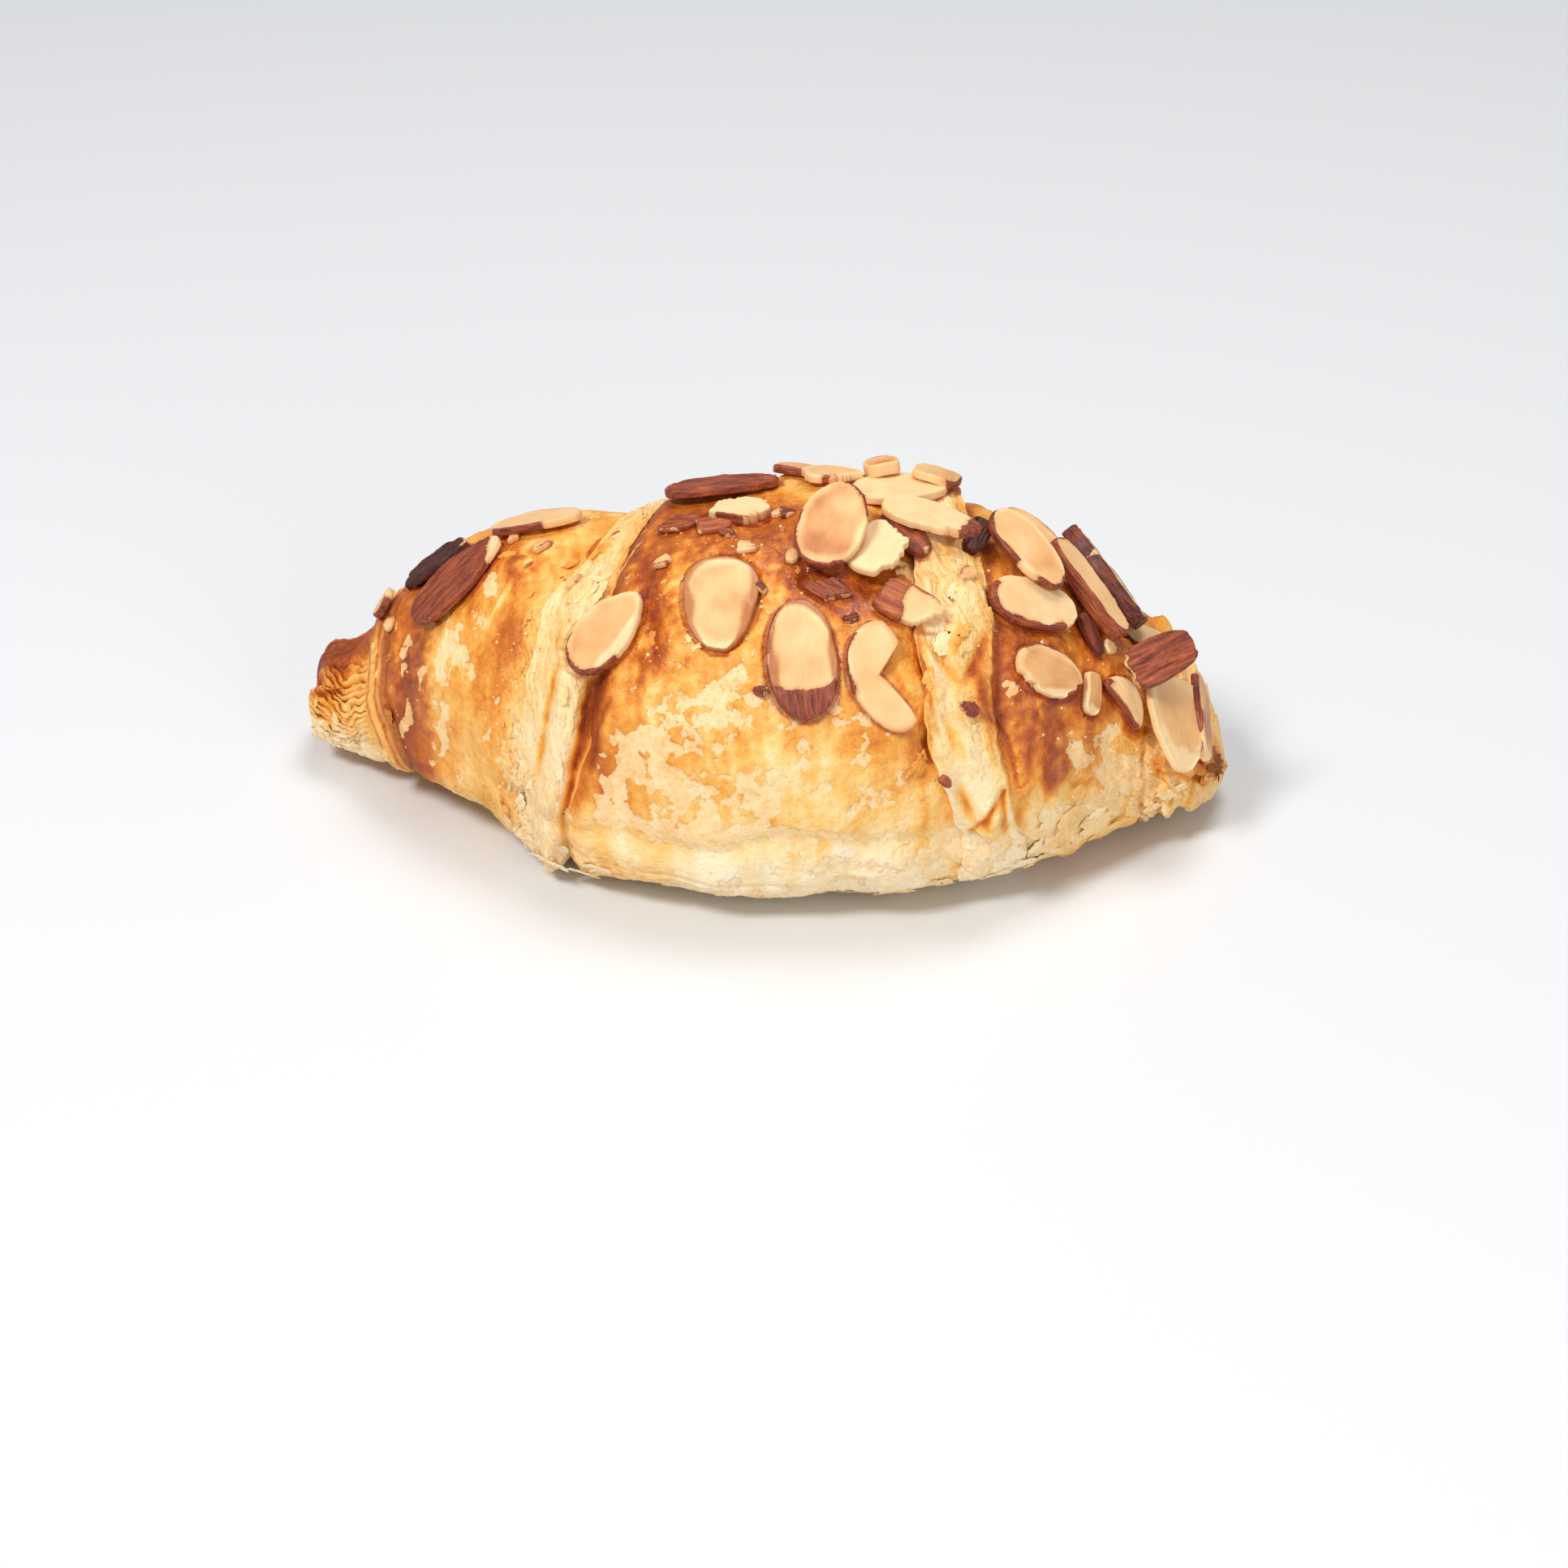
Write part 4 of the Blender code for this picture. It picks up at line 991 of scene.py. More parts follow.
    def detail(self):
        """Lumps, wrinkles, bubbles and flaked layers, in mm out of the plain form."""
        spots = self.spots
        flaked = ease(self.flake, -FLAKE_EDGE, FLAKE_EDGE)
        height = uneven("swells", spots) + uneven("dimples", spots) + uneven("pits", spots)
        height += LUMPS[self.number] * uneven("lumps", spots)
        wrinkle = np.stack([self.x / WRINKLE_WIDTH, self.around / WRINKLE_LENGTH,
                            0 * self.x], -1)
        ridge = ridged("wrinkles", wrinkle + WRINKLE_BEND * height[..., None])
        height += WRINKLES[self.number] * ridge * (1 - WRINKLE_GLAZED * self.glaze)
        blister, _, _ = cells(spots, *BLISTERS)
        blistered = self.glaze * (1 - flaked)
        blistered *= ease(uneven("blistered places", spots), *BLISTER_PLACES)
        dome = np.clip(1 - blister, 0, 1) ** 2 - BLISTER_FOOT
        height += BLISTER_HEIGHT * blistered * dome
        edge, half_width, lift = FLAKE_LIFT
        height += lift * bump(self.flake, edge, half_width) - FLAKE_STEP * flaked
        height += self.layers + ISLAND_HEIGHT * self.island + CHEVRON_HEIGHT * self.nested
        height -= SLIT_DEPTH * self.crack + self.sunk
        return height * ease(self.degrees, *DETAIL_FROM)


PAINTERS = {TIP: Crust.paint_tip, COLLAR: Crust.paint_collar,
            LEFT_PART: Crust.paint_left_part, LEFT_BAND: Crust.paint_left_band,
            MIDDLE: Crust.paint_middle, RIGHT_BAND: Crust.paint_right_band}
CRUST_FIELDS = ("toast", "flake", "crumb", "glaze", "crack", "edge", "pool")


# ---------------------------------------------------------------- the almonds

SLICE_THICKNESS = 1.5
ALL_ROUND = ((0, 180),)


@dataclass
class Slice:
    """A slice of almond: where it lies on the roll, how it is turned, and its outline.

    Directions on its face are in degrees as seen on the crust: 0 is to the right along the
    roll, and 90 is towards the crest.
    """
    name: str
    x: float
    angle: float
    spin: float             # direction of its long axis
    length: float
    width: float
    lift: float = 1.1       # middle of the slice above the plain form
    pitch: float = 0.0      # far end raised
    roll: float = 0.0       # left edge raised
    thickness: float = SLICE_THICKNESS
    bow: float = 0.3        # both ends bent down by this much
    point: float = 0.12     # how much narrower the far end is
    sweep: float = 0.0      # both ends swung sideways, as in a crescent
    bite: float = 0.0       # depth broken out of the right edge
    blunt: float = 2.2      # squareness of the outline
    skin: bool = False      # its brown skin faces out
    tan: float = 0.3        # how toasted its flesh is in the middle
    bake: float = 0.4       # how dark its skin is
    rim: float = 0.3        # width of the skin that shows round the face
    bark: tuple = ALL_ROUND     # where the edge keeps its skin: direction, half angle
    cuts: tuple = ()        # straight breaks: direction, distance from the middle
    peel: tuple = ()        # skin left on the face: direction, distance, curve
    pale: tuple = ()        # pale break in the face: direction, distance
    amber: float = 0.0      # glaze that has run over its rim
    nose: float = 0.0       # how much the far end is drawn to a point
    ridges: float = 0.10    # height of the wrinkles of the skin


SLICES = (
    Slice("almond_tip", -71.2, 82, 92, 6.8, 5.5, lift=2.4, roll=-12, tan=0.5,
          bark=((-90, 60),)),
    Slice("almond_left_rear", -62.6, 98, 8, 15.5, 10.0, lift=1.7, pitch=3, skin=True,
          bake=0.95, cuts=((195, 6.6), (20, 6.9)), ridges=0.25),
    Slice("almond_left_leaf", -56.0, 70, 47, 21.5, 12.5, lift=2.3, skin=True, bake=0.42,
          nose=0.35, ridges=0.16, pale=(18, 7.6)),
    Slice("almond_left_ridge", -43.4, 101, 0, 19.0, 11.0, lift=2.3, roll=-6, tan=0.3,
          bark=((-100, 50),), amber=0.5),
    Slice("almond_front_left", -25.2, 46, 54, 17.6, 12.3, lift=1.9, blunt=2.0, tan=0.6,
          bark=((-115, 62),), rim=0.5, nose=0.2, pale=(-35, 3.6)),
    Slice("almond_front_glazed", -6.0, 53.5, -88, 19.2, 13.0, lift=0.8, point=0.2, bow=0.8,
          tan=0.55, rim=0.0, bark=(), amber=1.0),
    Slice("almond_ridge_leaf", -9.4, 106, 12, 20.8, 10.0, lift=1.7, roll=-2, skin=True,
          bake=0.35, ridges=0.2),
    Slice("almond_ridge_chunk", -5.2, 89, -16, 11.5, 8.0, lift=1.4, bow=0.1, blunt=4.0,
          thickness=2.0, point=0.0, tan=0.05, bark=((-95, 50),), rim=0.15,
          cuts=((165, 4.6), (110, 3.2), (25, 4.9), (-50, 4.4))),
    Slice("almond_crown_oval", 12.2, 71, 72, 17.5, 12.3, lift=6.8, pitch=18, blunt=2.1,
          tan=0.86, rim=0.35, bark=((215, 70), (40, 35)), amber=0.25),
    Slice("almond_crown_broken", 20.4, 68, 70, 13.5, 10.0, lift=3.5, blunt=2.8, tan=0.1,
          bark=(), cuts=((38, 4.7), (-22, 4.2), (-62, 5.0), (120, 6.0))),
    Slice("almond_crown_peel", 24.0, 77.5, -58, 13.0, 6.5, lift=1.4, skin=True, bow=0.6,
          bake=0.45, cuts=((150, 5.8), (-30, 5.6)), ridges=0.25),
    Slice("almond_crown_pale", 22.4, 100, 20, 18.5, 11.0, lift=2.4, roll=4, tan=0.12,
          bark=((185, 35),), cuts=((0, 8.3),)),
    Slice("almond_crown_split", 27.8, 81, -26, 19.0, 9.5, lift=3.8, pitch=9, bow=0.2,
          tan=0.12, bark=((-25, 40),), cuts=((-100, 4.2), (-55, 7.0)), peel=(-26, 6.4, 0.03)),
    Slice("almond_crown_end", 35.8, 85, -106, 8.5, 4.5, lift=1.7, pitch=-22, skin=True,
          blunt=3.0, bake=0.85, ridges=0.25),
    Slice("almond_top_left", 3.9, 114, -20, 10.2, 6.5, lift=3.5, pitch=-6, tan=0.6,
          bark=((-120, 60),), rim=0.7),
    Slice("almond_top_middle", 10.0, 104, -14, 12.0, 7.5, lift=4.0, blunt=2.8, tan=0.5,
          bark=((-90, 25),), cuts=((200, 4.4), (-60, 3.2))),
    Slice("almond_top_knob", 18.8, 107, 12, 6.6, 6.0, lift=5.0, pitch=8, thickness=2.4,
          blunt=3.0, point=0.0, tan=0.75, bark=((100, 20),), cuts=((60, 3.0),)),
    Slice("almond_top_right", 27.6, 106, -14, 9.0, 8.0, lift=4.4, blunt=3.5, point=0.0,
          tan=0.6, bark=((-20, 50),)),
    Slice("almond_crown_half", 26.0, 53.0, -20, 14.5, 7.8, lift=1.3, blunt=2.4, tan=0.35,
          bark=((70, 60),), cuts=((-60, 3.9), (-5, 6.7), (150, 5.4)), peel=(165, 1.4, 0.06),
          bake=0.2),
    Slice("almond_peel_scraps", 12.3, 57, -38, 11.0, 5.0, lift=1.3, skin=True, blunt=2.6,
          thickness=1.2, bake=0.3, cuts=((100, 2.1), (-70, 2.2)), ridges=0.3),
    Slice("almond_front_oval", 8.7, 38.5, 96, 21.3, 12.3, lift=1.6, point=0.05, bow=0.9,
          tan=0.42, rim=0.35, bark=((140, 30), (215, 25)), peel=(-88, 5.6, 0.045), amber=1.0),
    Slice("almond_front_crescent", 22.6, 34, 110, 20.0, 10.5, lift=1.7, sweep=-1.4, bite=5.0,
          bow=0.7, point=-0.1, tan=0.35, bark=((128, 24), (190, 30)), rim=0.5, amber=0.6),
    Slice("almond_right_oval", 43.2, 82, -41, 18.2, 10.2, lift=4.6, pitch=-5, roll=12,
          tan=0.5, bark=((-48, 26), (195, 55)), rim=0.5),
    Slice("almond_right_half", 46.3, 65, 13, 19.0, 11.0, lift=1.5, point=0.0, tan=0.15,
          bark=((-110, 85),), rim=0.9),
    Slice("almond_right_rear", 44.8, 110, -48, 14.0, 6.0, lift=2.0, roll=20, tan=0.5),
    Slice("almond_right_long", 54.0, 82.5, -49, 21.5, 7.0, lift=3.4, pitch=2, roll=2,
          thickness=3.0, blunt=2.8, bake=0.3, tan=0.3, rim=0.5),
    Slice("almond_right_stand", 56.4, 98, -45, 22.5, 8.0, lift=4.2, roll=-14, thickness=3.0,
          blunt=3.0, bake=0.65, tan=0.2, rim=0.5),
    Slice("almond_right_chip", 56.3, 64, -57, 8.6, 3.4, lift=1.3, skin=True, bow=0.1,
          blunt=2.8, bake=0.6),
    Slice("almond_right_toasted", 49.7, 43, -8, 15.5, 9.0, lift=1.5, tan=0.66, rim=0.15,
          bark=((105, 50),), pale=(-80, 2.6), cuts=((-55, 4.9), (-125, 4.9))),
    Slice("almond_end_pale", 65.9, 82, 14, 9.0, 6.0, lift=2.0, pitch=14, tan=0.2,
          bark=((-110, 50),)),
    Slice("almond_end_leaf", 65.1, 57.5, 38, 15.5, 8.5, lift=7.3, pitch=26, skin=True,
          blunt=2.8, bake=0.4, cuts=((38, 7.1), (-130, 6.6), (200, 6.8)), ridges=0.35),
    Slice("almond_end_chip", 57.0, 39.5, -95, 8.0, 4.0, lift=1.4, blunt=3.5, point=0.0,
          tan=0.8, bark=(), pale=(-95, 2.2)),
    Slice("almond_end_curl", 62.8, 40.6, -36, 11.4, 5.5, lift=1.7, sweep=-2.0, tan=0.15,
          bark=((-130, 70),), rim=0.8),
    Slice("almond_end_large", 71.8, 36, -82, 18.0, 13.6, lift=2.6, point=0.25, pitch=9,
          roll=-6, tan=0.40, rim=0.35, bark=((10, 50),), pale=(-90, 4.5), nose=0.25, blunt=2.8),
    Slice("almond_end_edge", 76.6, 50, -80, 17.0, 8.6, lift=1.6, roll=-20, tan=0.72,
          bark=((180, 60),)),
)

# Slices that are mostly brown skin
BARK_THICKNESS = 2.5        # slices thicker than this show their skin at the side
SKIN_SLICES = tuple(item.name for item in SLICES
                    if item.skin or item.thickness > BARK_THICKNESS)

SPOKES = 84
FACE_RINGS = 13
FACE_SPREAD = 0.75          # below 1, the rings lie closer towards the edge
UNDER_RINGS = 4             # the underside has every fourth ring
# The edge of a slice: how far in from the outline, and what share of half the thickness
EDGE_PROFILE = ((0.42, 1.0), (0.22, 0.97), (0.08, 0.85), (0.0, 0.55), (0.0, 0.0),
                (0.0, -0.55), (0.08, -0.85), (0.22, -0.97), (0.42, -1.0))
FACE_EDGE_MOST, EDGE_MOST = 0.3, 0.2        # shares of the reach that the edge may take
WALL_LEVEL = 1.4            # the edge's share of wall, less its height's share
SLICE_TIP, OUTLINE_TIP = 0.985, 0.999       # of half the length: the width stays beyond it
SEATING = 0.12              # how far a slice sinks into the glaze
PRESS_MARGIN = 0.5          # the crust is pressed down this far round a slice
PRESS_SLOPE = 1.6           # how steeply it rises again beyond that
PRESS_REACH = 7.0
PRESS_OVER, PRESS_BELOW = 9.0, 8.0
POOL_BESIDE, POOL_HIGH = 0.9, 1.6       # reach of the glaze that gathers round a slice, painted darker there as shade where slice and crust meet
BITE_PLACE, BITE_LONG, BITE_SHORT = 0.08, 0.95, 0.42       # shares of half the length
BITE_MOST = 1.2             # of half the width
NOSE_FROM = (0.1, 1.1)      # shares of half the length over which a nose sets in
SWEEP_REST, BOW_REST = 0.35, 0.3        # keep a swept or bowed slice's mean place
JAGGED_WIDTH = 11.0         # mm: narrower slices have smoother outlines and breaks
OUTLINE_RING, OUTLINE_STEP, BREAK_STEP = 10.0, 7.0, 50      # where outline noise is drawn
OUTLINE_DRAWN_IN = 0.15
BARK_STOPS = 0.3            # mm before a break
TAN_FROM_EDGE = 0.16        # share of the width over which the middle's tan sets in
WALL_TAN = 0.16             # how much more toasted the edge is
SKIN_NICKED, SKIN_RIM, SKIN_BREAK = 1.5, 1.2, 0.1       # mm
SKIN_INWARD = 1.2           # how fast the nicks close inward
AMBER_WIDTH = 2.2           # how far the glaze runs in over a rim
AMBER_FROM, AMBER_SIDE_SHADE = 0.45, 0.9     # least share of that, and more at the sides, where it is also painted shade
AMBER_STRENGTH = 1.25
SLICE_GRAIN_STEP, WALL_GRAIN = 31.0, 1.6        # where each slice's grain is drawn
SKIN_STRANDS, FACE_STRANDS = (0.22, 1.5, 1.0), (0.25, 1.8, 1.0)
SKIN_HEIGHT = 0.06
PALE_EDGE, PALE_RISE, PALE_DEPTH = (-0.2, 0.5), (-0.1, 0.4), 0.25


def plain_point(x, angle):
    x, angle = np.array(x), np.array(angle)
    return at_radius(x, angle, plain_radius(x, angle))


def plain_frame(x, angle, step=0.5, turn=0.01):
    """A point of the plain form, the directions along and round the roll, and out of it."""
    point = plain_point(x, angle)
    along = unit(plain_point(x + step, angle) - plain_point(x - step, angle))
    around = plain_point(x, angle + turn) - plain_point(x, angle - turn)
    out = unit(np.cross(along, around))
    return point, along, np.cross(out, along), out


def turned(first, second, angle):
    """Two square directions, turned so that the first moves towards the second."""
    cos, sin = np.cos(angle), np.sin(angle)
    return first * cos + second * sin, second * cos - first * sin


def slice_frame(item):
    """Centre of a slice, and its long, cross and outward directions."""
    point, along, around, out = plain_frame(item.x, np.radians(item.angle))
    spin, pitch, roll = np.radians((item.spin, item.pitch, item.roll))
    long_way, _ = turned(along, around, spin)
    cross_way = np.cross(out, long_way)
    long_way, face = turned(long_way, out, pitch)
    cross_way, face = turned(cross_way, face, roll)
    return point + out * item.lift, long_way, cross_way, face


def slice_edges(item, s):
    """Left and right edge of a slice at s, which runs from -1 to 1 along it."""
    round_off = (1 - np.abs(s) ** item.blunt) ** (1 / item.blunt)
    half = item.width / 2 * round_off * (1 - item.point * s)
    half = half * (1 - item.nose * ease(s, *NOSE_FROM))
    middle = item.sweep * (s * s - SWEEP_REST)
    near_side = np.clip(1 - (BITE_PLACE - s) / BITE_LONG, 0, 1)
    far_side = np.clip(1 - (s - BITE_PLACE) / BITE_SHORT, 0, 1)
    broken = item.bite * np.minimum(near_side, far_side)
    return middle + half, middle - half + np.minimum(broken, BITE_MOST * half)


def sag(item, s):
    return -item.bow * (s * s - BOW_REST)


def over_slice(points, item):
    """Where points lie over a slice: how far along, outside its outline, and above it."""
    centre, long_way, cross_way, face = slice_frame(item)
    offset = points - centre
    u, v, w = offset @ long_way, offset @ cross_way, offset @ face
    s = u / (item.length / 2)
    left, right = slice_edges(item, np.clip(s, -SLICE_TIP, SLICE_TIP))
    outside = np.maximum.reduce([np.abs(u) - item.length / 2, v - left, right - v])
    return np.clip(s, -1, 1), outside, w


def press_under(points, item):
    """Crust under a slice moved down to it, and how near the slice's edge each point is."""
    s, outside, w = over_slice(points, item)
    margin = np.maximum(outside, 0)
    underside = sag(item, s) - item.thickness / 2 + SEATING
    limit = underside + PRESS_SLOPE * np.maximum(margin - PRESS_MARGIN, 0)
    near = (margin < PRESS_REACH) & (w < PRESS_OVER) & (w > -PRESS_BELOW)
    too_high = np.where(near, np.clip(w - limit, 0, None), 0)
    touching = bump(outside, 0.0, POOL_BESIDE) * bump(w, underside, POOL_HIGH)
    _, _, _, face = slice_frame(item)
    return points - too_high[..., None] * face, touching


def is_covered(points, margin):
    """Which points of the crust have a slice of almond over or close to them."""
    covered = np.zeros(len(points), bool)
    for item in SLICES:
        _, outside, w = over_slice(points, item)
        covered |= (outside < margin) & (np.abs(w) < PRESS_OVER)
    return covered


def toward(item, direction):
    """A direction seen on the crust, in the slice's own long and cross way."""
    turn = np.radians(direction - item.spin)
    return np.array([np.cos(turn), np.sin(turn)])


def slice_outline(item, number, turn):
    """The ragged outline of a slice round its core, and how far each point is from a break."""
    s = np.clip(np.cos(turn), -OUTLINE_TIP, OUTLINE_TIP)
    left, right = slice_edges(item, s)
    mid_left, mid_right = slice_edges(item, np.array(0.0))
    core = np.array([0.0, (mid_left + mid_right) / 2])
    edge_v = np.where(np.sin(turn) >= 0, left, right)
    outline = np.stack([s * item.length / 2, edge_v], -1) - core
    ring = circle(OUTLINE_RING, turn, OUTLINE_STEP * number)
    evenness = min(item.width / JAGGED_WIDTH, 1)
    ragged = evenness * (uneven("slice outline", ring) + uneven("slice nicks", ring))
    ragged = ragged - OUTLINE_DRAWN_IN + uneven("slice fringe", ring)
    reach = np.linalg.norm(outline, axis=1)
    outline = outline * ((reach + ragged) / reach)[:, None]
    unbroken = np.full(len(turn), FAR)
    for k, (direction, distance) in enumerate(item.cuts):
        beyond = outline @ toward(item, direction)
        places = ring + BREAK_STEP * k
        limit = distance + evenness * (uneven("breaks", places) + uneven("break teeth", places))
        unbroken = np.minimum(unbroken, limit - beyond)
        outline = outline * np.where(beyond > limit, limit / np.maximum(beyond, 0.1), 1)[:, None]
    return outline, core, np.maximum(unbroken, 0)


def slice_bark(item, flat, inset, wall, unbroken, grain):
    """How far inside the brown skin each point of a flesh slice is, in mm."""
    seen = np.degrees(np.arctan2(flat[:, 1], flat[:, 0])) + item.spin
    reach = np.linalg.norm(flat, axis=1)
    kept = np.full(len(flat), -FAR)
    for direction, half_angle in item.bark:
        apart = np.abs((seen - direction + 180) % 360 - 180)
        kept = np.maximum(kept, (half_angle - apart) * np.radians(1) * reach)
    kept = np.minimum(kept + uneven("bark edge", grain), unbroken + inset - BARK_STOPS)
    rim = item.rim * (1 + uneven("rim width", grain)) - inset
    bark = np.minimum(kept, np.where(wall > 0, FAR, rim))
    if item.peel:
        direction, distance, curve = item.peel
        ahead = toward(item, direction)
        side = flat @ np.array([-ahead[1], ahead[0]])
        peeled = flat @ ahead - distance + curve * side ** 2 + uneven("peel edge", grain)
        bark = np.maximum(bark, peeled)
    return bark


def skin_bark(inset, unbroken, grain):
    """The same for a slice whose brown skin faces out."""
    nick = SKIN_NICKED + uneven("skin nicks", grain) + uneven("fine skin nicks", grain)
    bark = np.where(inset < SKIN_RIM, np.minimum(FAR, nick + SKIN_INWARD * inset), FAR)
    return np.minimum(bark, unbroken + inset - SKIN_BREAK + uneven("skin breaks", grain))


def slice_fields(item, number, flat, inset, height, wall, unbroken):
    """What is painted on a slice, and how far each of its points stands out."""
    deep = SLICE_GRAIN_STEP * number + WALL_GRAIN * height * (wall > 0)
    grain = np.concatenate([flat, deep[:, None]], axis=1)
    wrinkle = ridged("skin wrinkles", grain * np.array(SKIN_STRANDS))
    if item.skin:
        bark = skin_bark(inset, unbroken, grain)
    else:
        bark = slice_bark(item, flat, inset, wall, unbroken, grain)
    tan = ease(inset / (TAN_FROM_EDGE * item.width) + uneven("tan edge", grain), 0.0, 1.0)
    tan = item.tan * tan * (1 + uneven("tan clouds", grain))
    tan += WALL_TAN * (wall > 0) + uneven("tan blotches", grain)
    dip = 0.0
    if item.pale:
        direction, distance = item.pale
        broken = flat @ toward(item, direction) - distance + uneven("pale edge", grain)
        tan *= 1 - ease(broken, *PALE_EDGE)
        dip = PALE_DEPTH * ease(broken, *PALE_RISE)
        if item.skin:
            bark = np.minimum(bark, -broken)
    # Glaze run in over the rim, reaching further at the sides, where it is also painted shade
    sideways = np.abs(flat[:, 1]) / np.maximum(np.linalg.norm(flat, axis=1), 0.1)
    reach_in = AMBER_FROM + AMBER_SIDE_SHADE * sideways ** 2 + uneven("amber edge", grain)
    reach_in = np.maximum(AMBER_WIDTH * reach_in, 0.2)
    amber = item.amber * np.clip(AMBER_STRENGTH - inset / reach_in, 0, 1)
    relief = uneven("face swells", grain) + uneven("face dimples", grain)
    relief += uneven("face strands", grain * np.array(FACE_STRANDS))
    relief += (bark > 0) * (item.ridges * wrinkle + SKIN_HEIGHT) - dip
    depth = sag(item, flat[:, 0] / (item.length / 2)) + height
    depth += relief * (wall == 0) * (height > 0)
    fields = {"bark": np.clip(bark, -2, 2), "tan": np.clip(tan, 0, 1), "amber": amber,
              "bake": np.full(len(flat), item.bake)}
    return depth, fields, grain


def slice_mesh(item, number):
    """Points, faces, painted fields and grain of one slice of almond."""
    centre, long_way, cross_way, face = slice_frame(item)
    turn = np.linspace(0, 2 * np.pi, SPOKES, endpoint=False)
    outline, core, unbroken = slice_outline(item, number, turn)
    reach = np.linalg.norm(outline, axis=1)
    half = item.thickness / 2
    first_inset = np.minimum(EDGE_PROFILE[0][0], FACE_EDGE_MOST * reach)
    inner = [((k / FACE_RINGS) ** FACE_SPREAD) * (1 - first_inset / reach)
             for k in range(1, FACE_RINGS + 1)]
    rows = [(share, reach * (1 - share), half, 0.0) for share in inner]
    for inset, height in EDGE_PROFILE[1:-1]:
        inset = np.minimum(inset, EDGE_MOST * reach)
        rows.append((1 - inset / reach, inset, height * half, WALL_LEVEL - abs(height)))
    rows += [(share, reach * (1 - share), -half, 0.0) for share in inner[::-UNDER_RINGS]]
    flat = np.concatenate([outline * (0 * reach + share)[:, None] for share, *_ in rows])
    inset, height, wall = (np.concatenate([row[k] + 0 * reach for row in rows])
                           for k in (1, 2, 3))
    flat = np.concatenate([flat, np.zeros((2, 2))])
    inset = np.append(inset, [reach.mean()] * 2)
    height = np.append(height, [half, -half])
    wall = np.append(wall, [0.0, 0.0])
    unbroken = np.append(np.tile(unbroken, len(rows)), [FAR, FAR])
    depth, fields, grain = slice_fields(item, number, flat, inset, height, wall, unbroken)
    flat = flat + core
    points = (centre + flat[:, :1] * long_way + flat[:, 1:] * cross_way
              + depth[:, None] * face)
    return points, loft_faces(len(rows), SPOKES), fields, {"grain": grain}


# ---------------------------------------------------------------- chips, flakes and crumbs

# Brown and pale chips baked on the crust: x, angle, spin, length, width, skin, how dark
CHIPS = (
    (-15.2, 84, -12, 9.0, 4.8, True, 0.32), (-16.0, 66, 40, 4.2, 2.6, False, 0.0),
    (-2.6, 70, 10, 4.8, 3.0, False, 0.0), (3.4, 84, -20, 4.6, 2.6, True, 0.5),
    (-40.5, 84, 70, 5.0, 2.2, False, 0.0), (36.9, 29, -40, 4.0, 2.8, True, 0.5),
    (33.4, 10, -34, 3.0, 2.0, True, 0.2), (-34.0, 68, 60, 4.0, 2.2, False, 0.0),
    (34.5, 66, 30, 4.4, 2.8, False, 0.0), (60.5, 86, 50, 4.4, 3.4, True, 0.5),
    (-9.4, 79, 8, 8.0, 4.4, True, 0.15), (1.0, 57, -50, 3.4, 1.8, True, 0.5),
    (2.2, 31, -20, 3.0, 2.4, True, 0.45), (16.5, 49, 20, 3.2, 2.0, True, 0.5),
    (20.2, 46, -60, 3.6, 2.2, True, 0.35), (59.5, 62, 20, 3.6, 3.0, False, 0.0),
    (70.0, 62, -20, 3.4, 2.6, False, 0.0), (-46.6, 90, 110, 4.6, 2.2, False, 0.0),
    (-69.6, 62, 80, 3.6, 2.4, False, 0.0), (18.6, 107, 10, 6.5, 5.0, False, 0.0),
    (27.5, 106, 0, 6.0, 4.5, False, 0.0), (2.0, 86, 60, 3.4, 2.4, False, 0.0),
    (-6.4, 76, -30, 3.6, 2.0, True, 0.4), (5.6, 68, 70, 4.2, 2.6, False, 0.0),
)
CHIP_LIFT, CHIP_LIFT_LENGTH = 0.35, 0.035       # mm, and share of its length
CHIP_TURN = 137.5           # degrees from the breaks of one chip to those of the next
CHIP_CUTS = ((0, 0.44), (130, 0.50))    # direction, and distance as a share of the width
CHIP_FORM = {"thickness": 1.1, "bow": 0.1, "blunt": 2.6, "tan": 0.4, "ridges": 0.2}
CHIP_BARK_HALF = 60

# Thin flakes of crust that stand off it: x from and to, angle from and to, how many,
# length from and to, spin and its spread, lean in degrees, and by how much they are darker
FLAKES = (
    (-46, -39, -22, 60, 26, 2.0, 5.0, 80, 24, 8, -0.10, 0.12),
    (-38, -26, 58, 104, 14, 4.0, 9.0, 62, 10, 6, -0.02, 0.20),
    (-41, -32, -20, 50, 5, 4.0, 9.0, 76, 8, 5, -0.02, 0.16),
    (-44, -22, -34, -20, 7, 5.0, 9.0, 0, 18, 4, -0.30, -0.14),
    (-74, -69, -30, 60, 16, 1.6, 3.6, 86, 14, 10, -0.20, 0.10),
    (-87, -76, -34, 46, 18, 2.0, 5.0, 60, 20, 10, -0.10, 0.10),
    (28, 42, 8, 72, 9, 4.0, 9.0, 66, 14, 5, -0.10, 0.06),
    (44, 70, -28, 8, 14, 5.0, 10.0, 24, 16, 5, -0.06, 0.06),
    (66, 81, -20, 66, 22, 3.0, 7.0, 30, 40, 14, -0.08, 0.15),
    (79.5, 81.5, 10, 36, 7, 3.0, 4.8, 0, 22, 22, 0.10, 0.35),
    (-66, -40, 70, 104, 12, 2.0, 5.0, 40, 40, 10, -0.15, 0.05),
    (-20, 34, 40, 66, 26, 1.4, 3.6, 0, 90, 8, -0.20, 0.10),
    (-20, 45, -38, -24, 16, 5.0, 10.0, 0, 14, 5, -0.02, 0.10),
    (-30, 60, 110, 200, 60, 2.0, 6.0, 30, 90, 7, -0.20, 0.10),
    (-70, -30, 110, 200, 34, 2.0, 5.0, 60, 60, 8, -0.20, 0.10),
)
FLAKE_SEED = 11
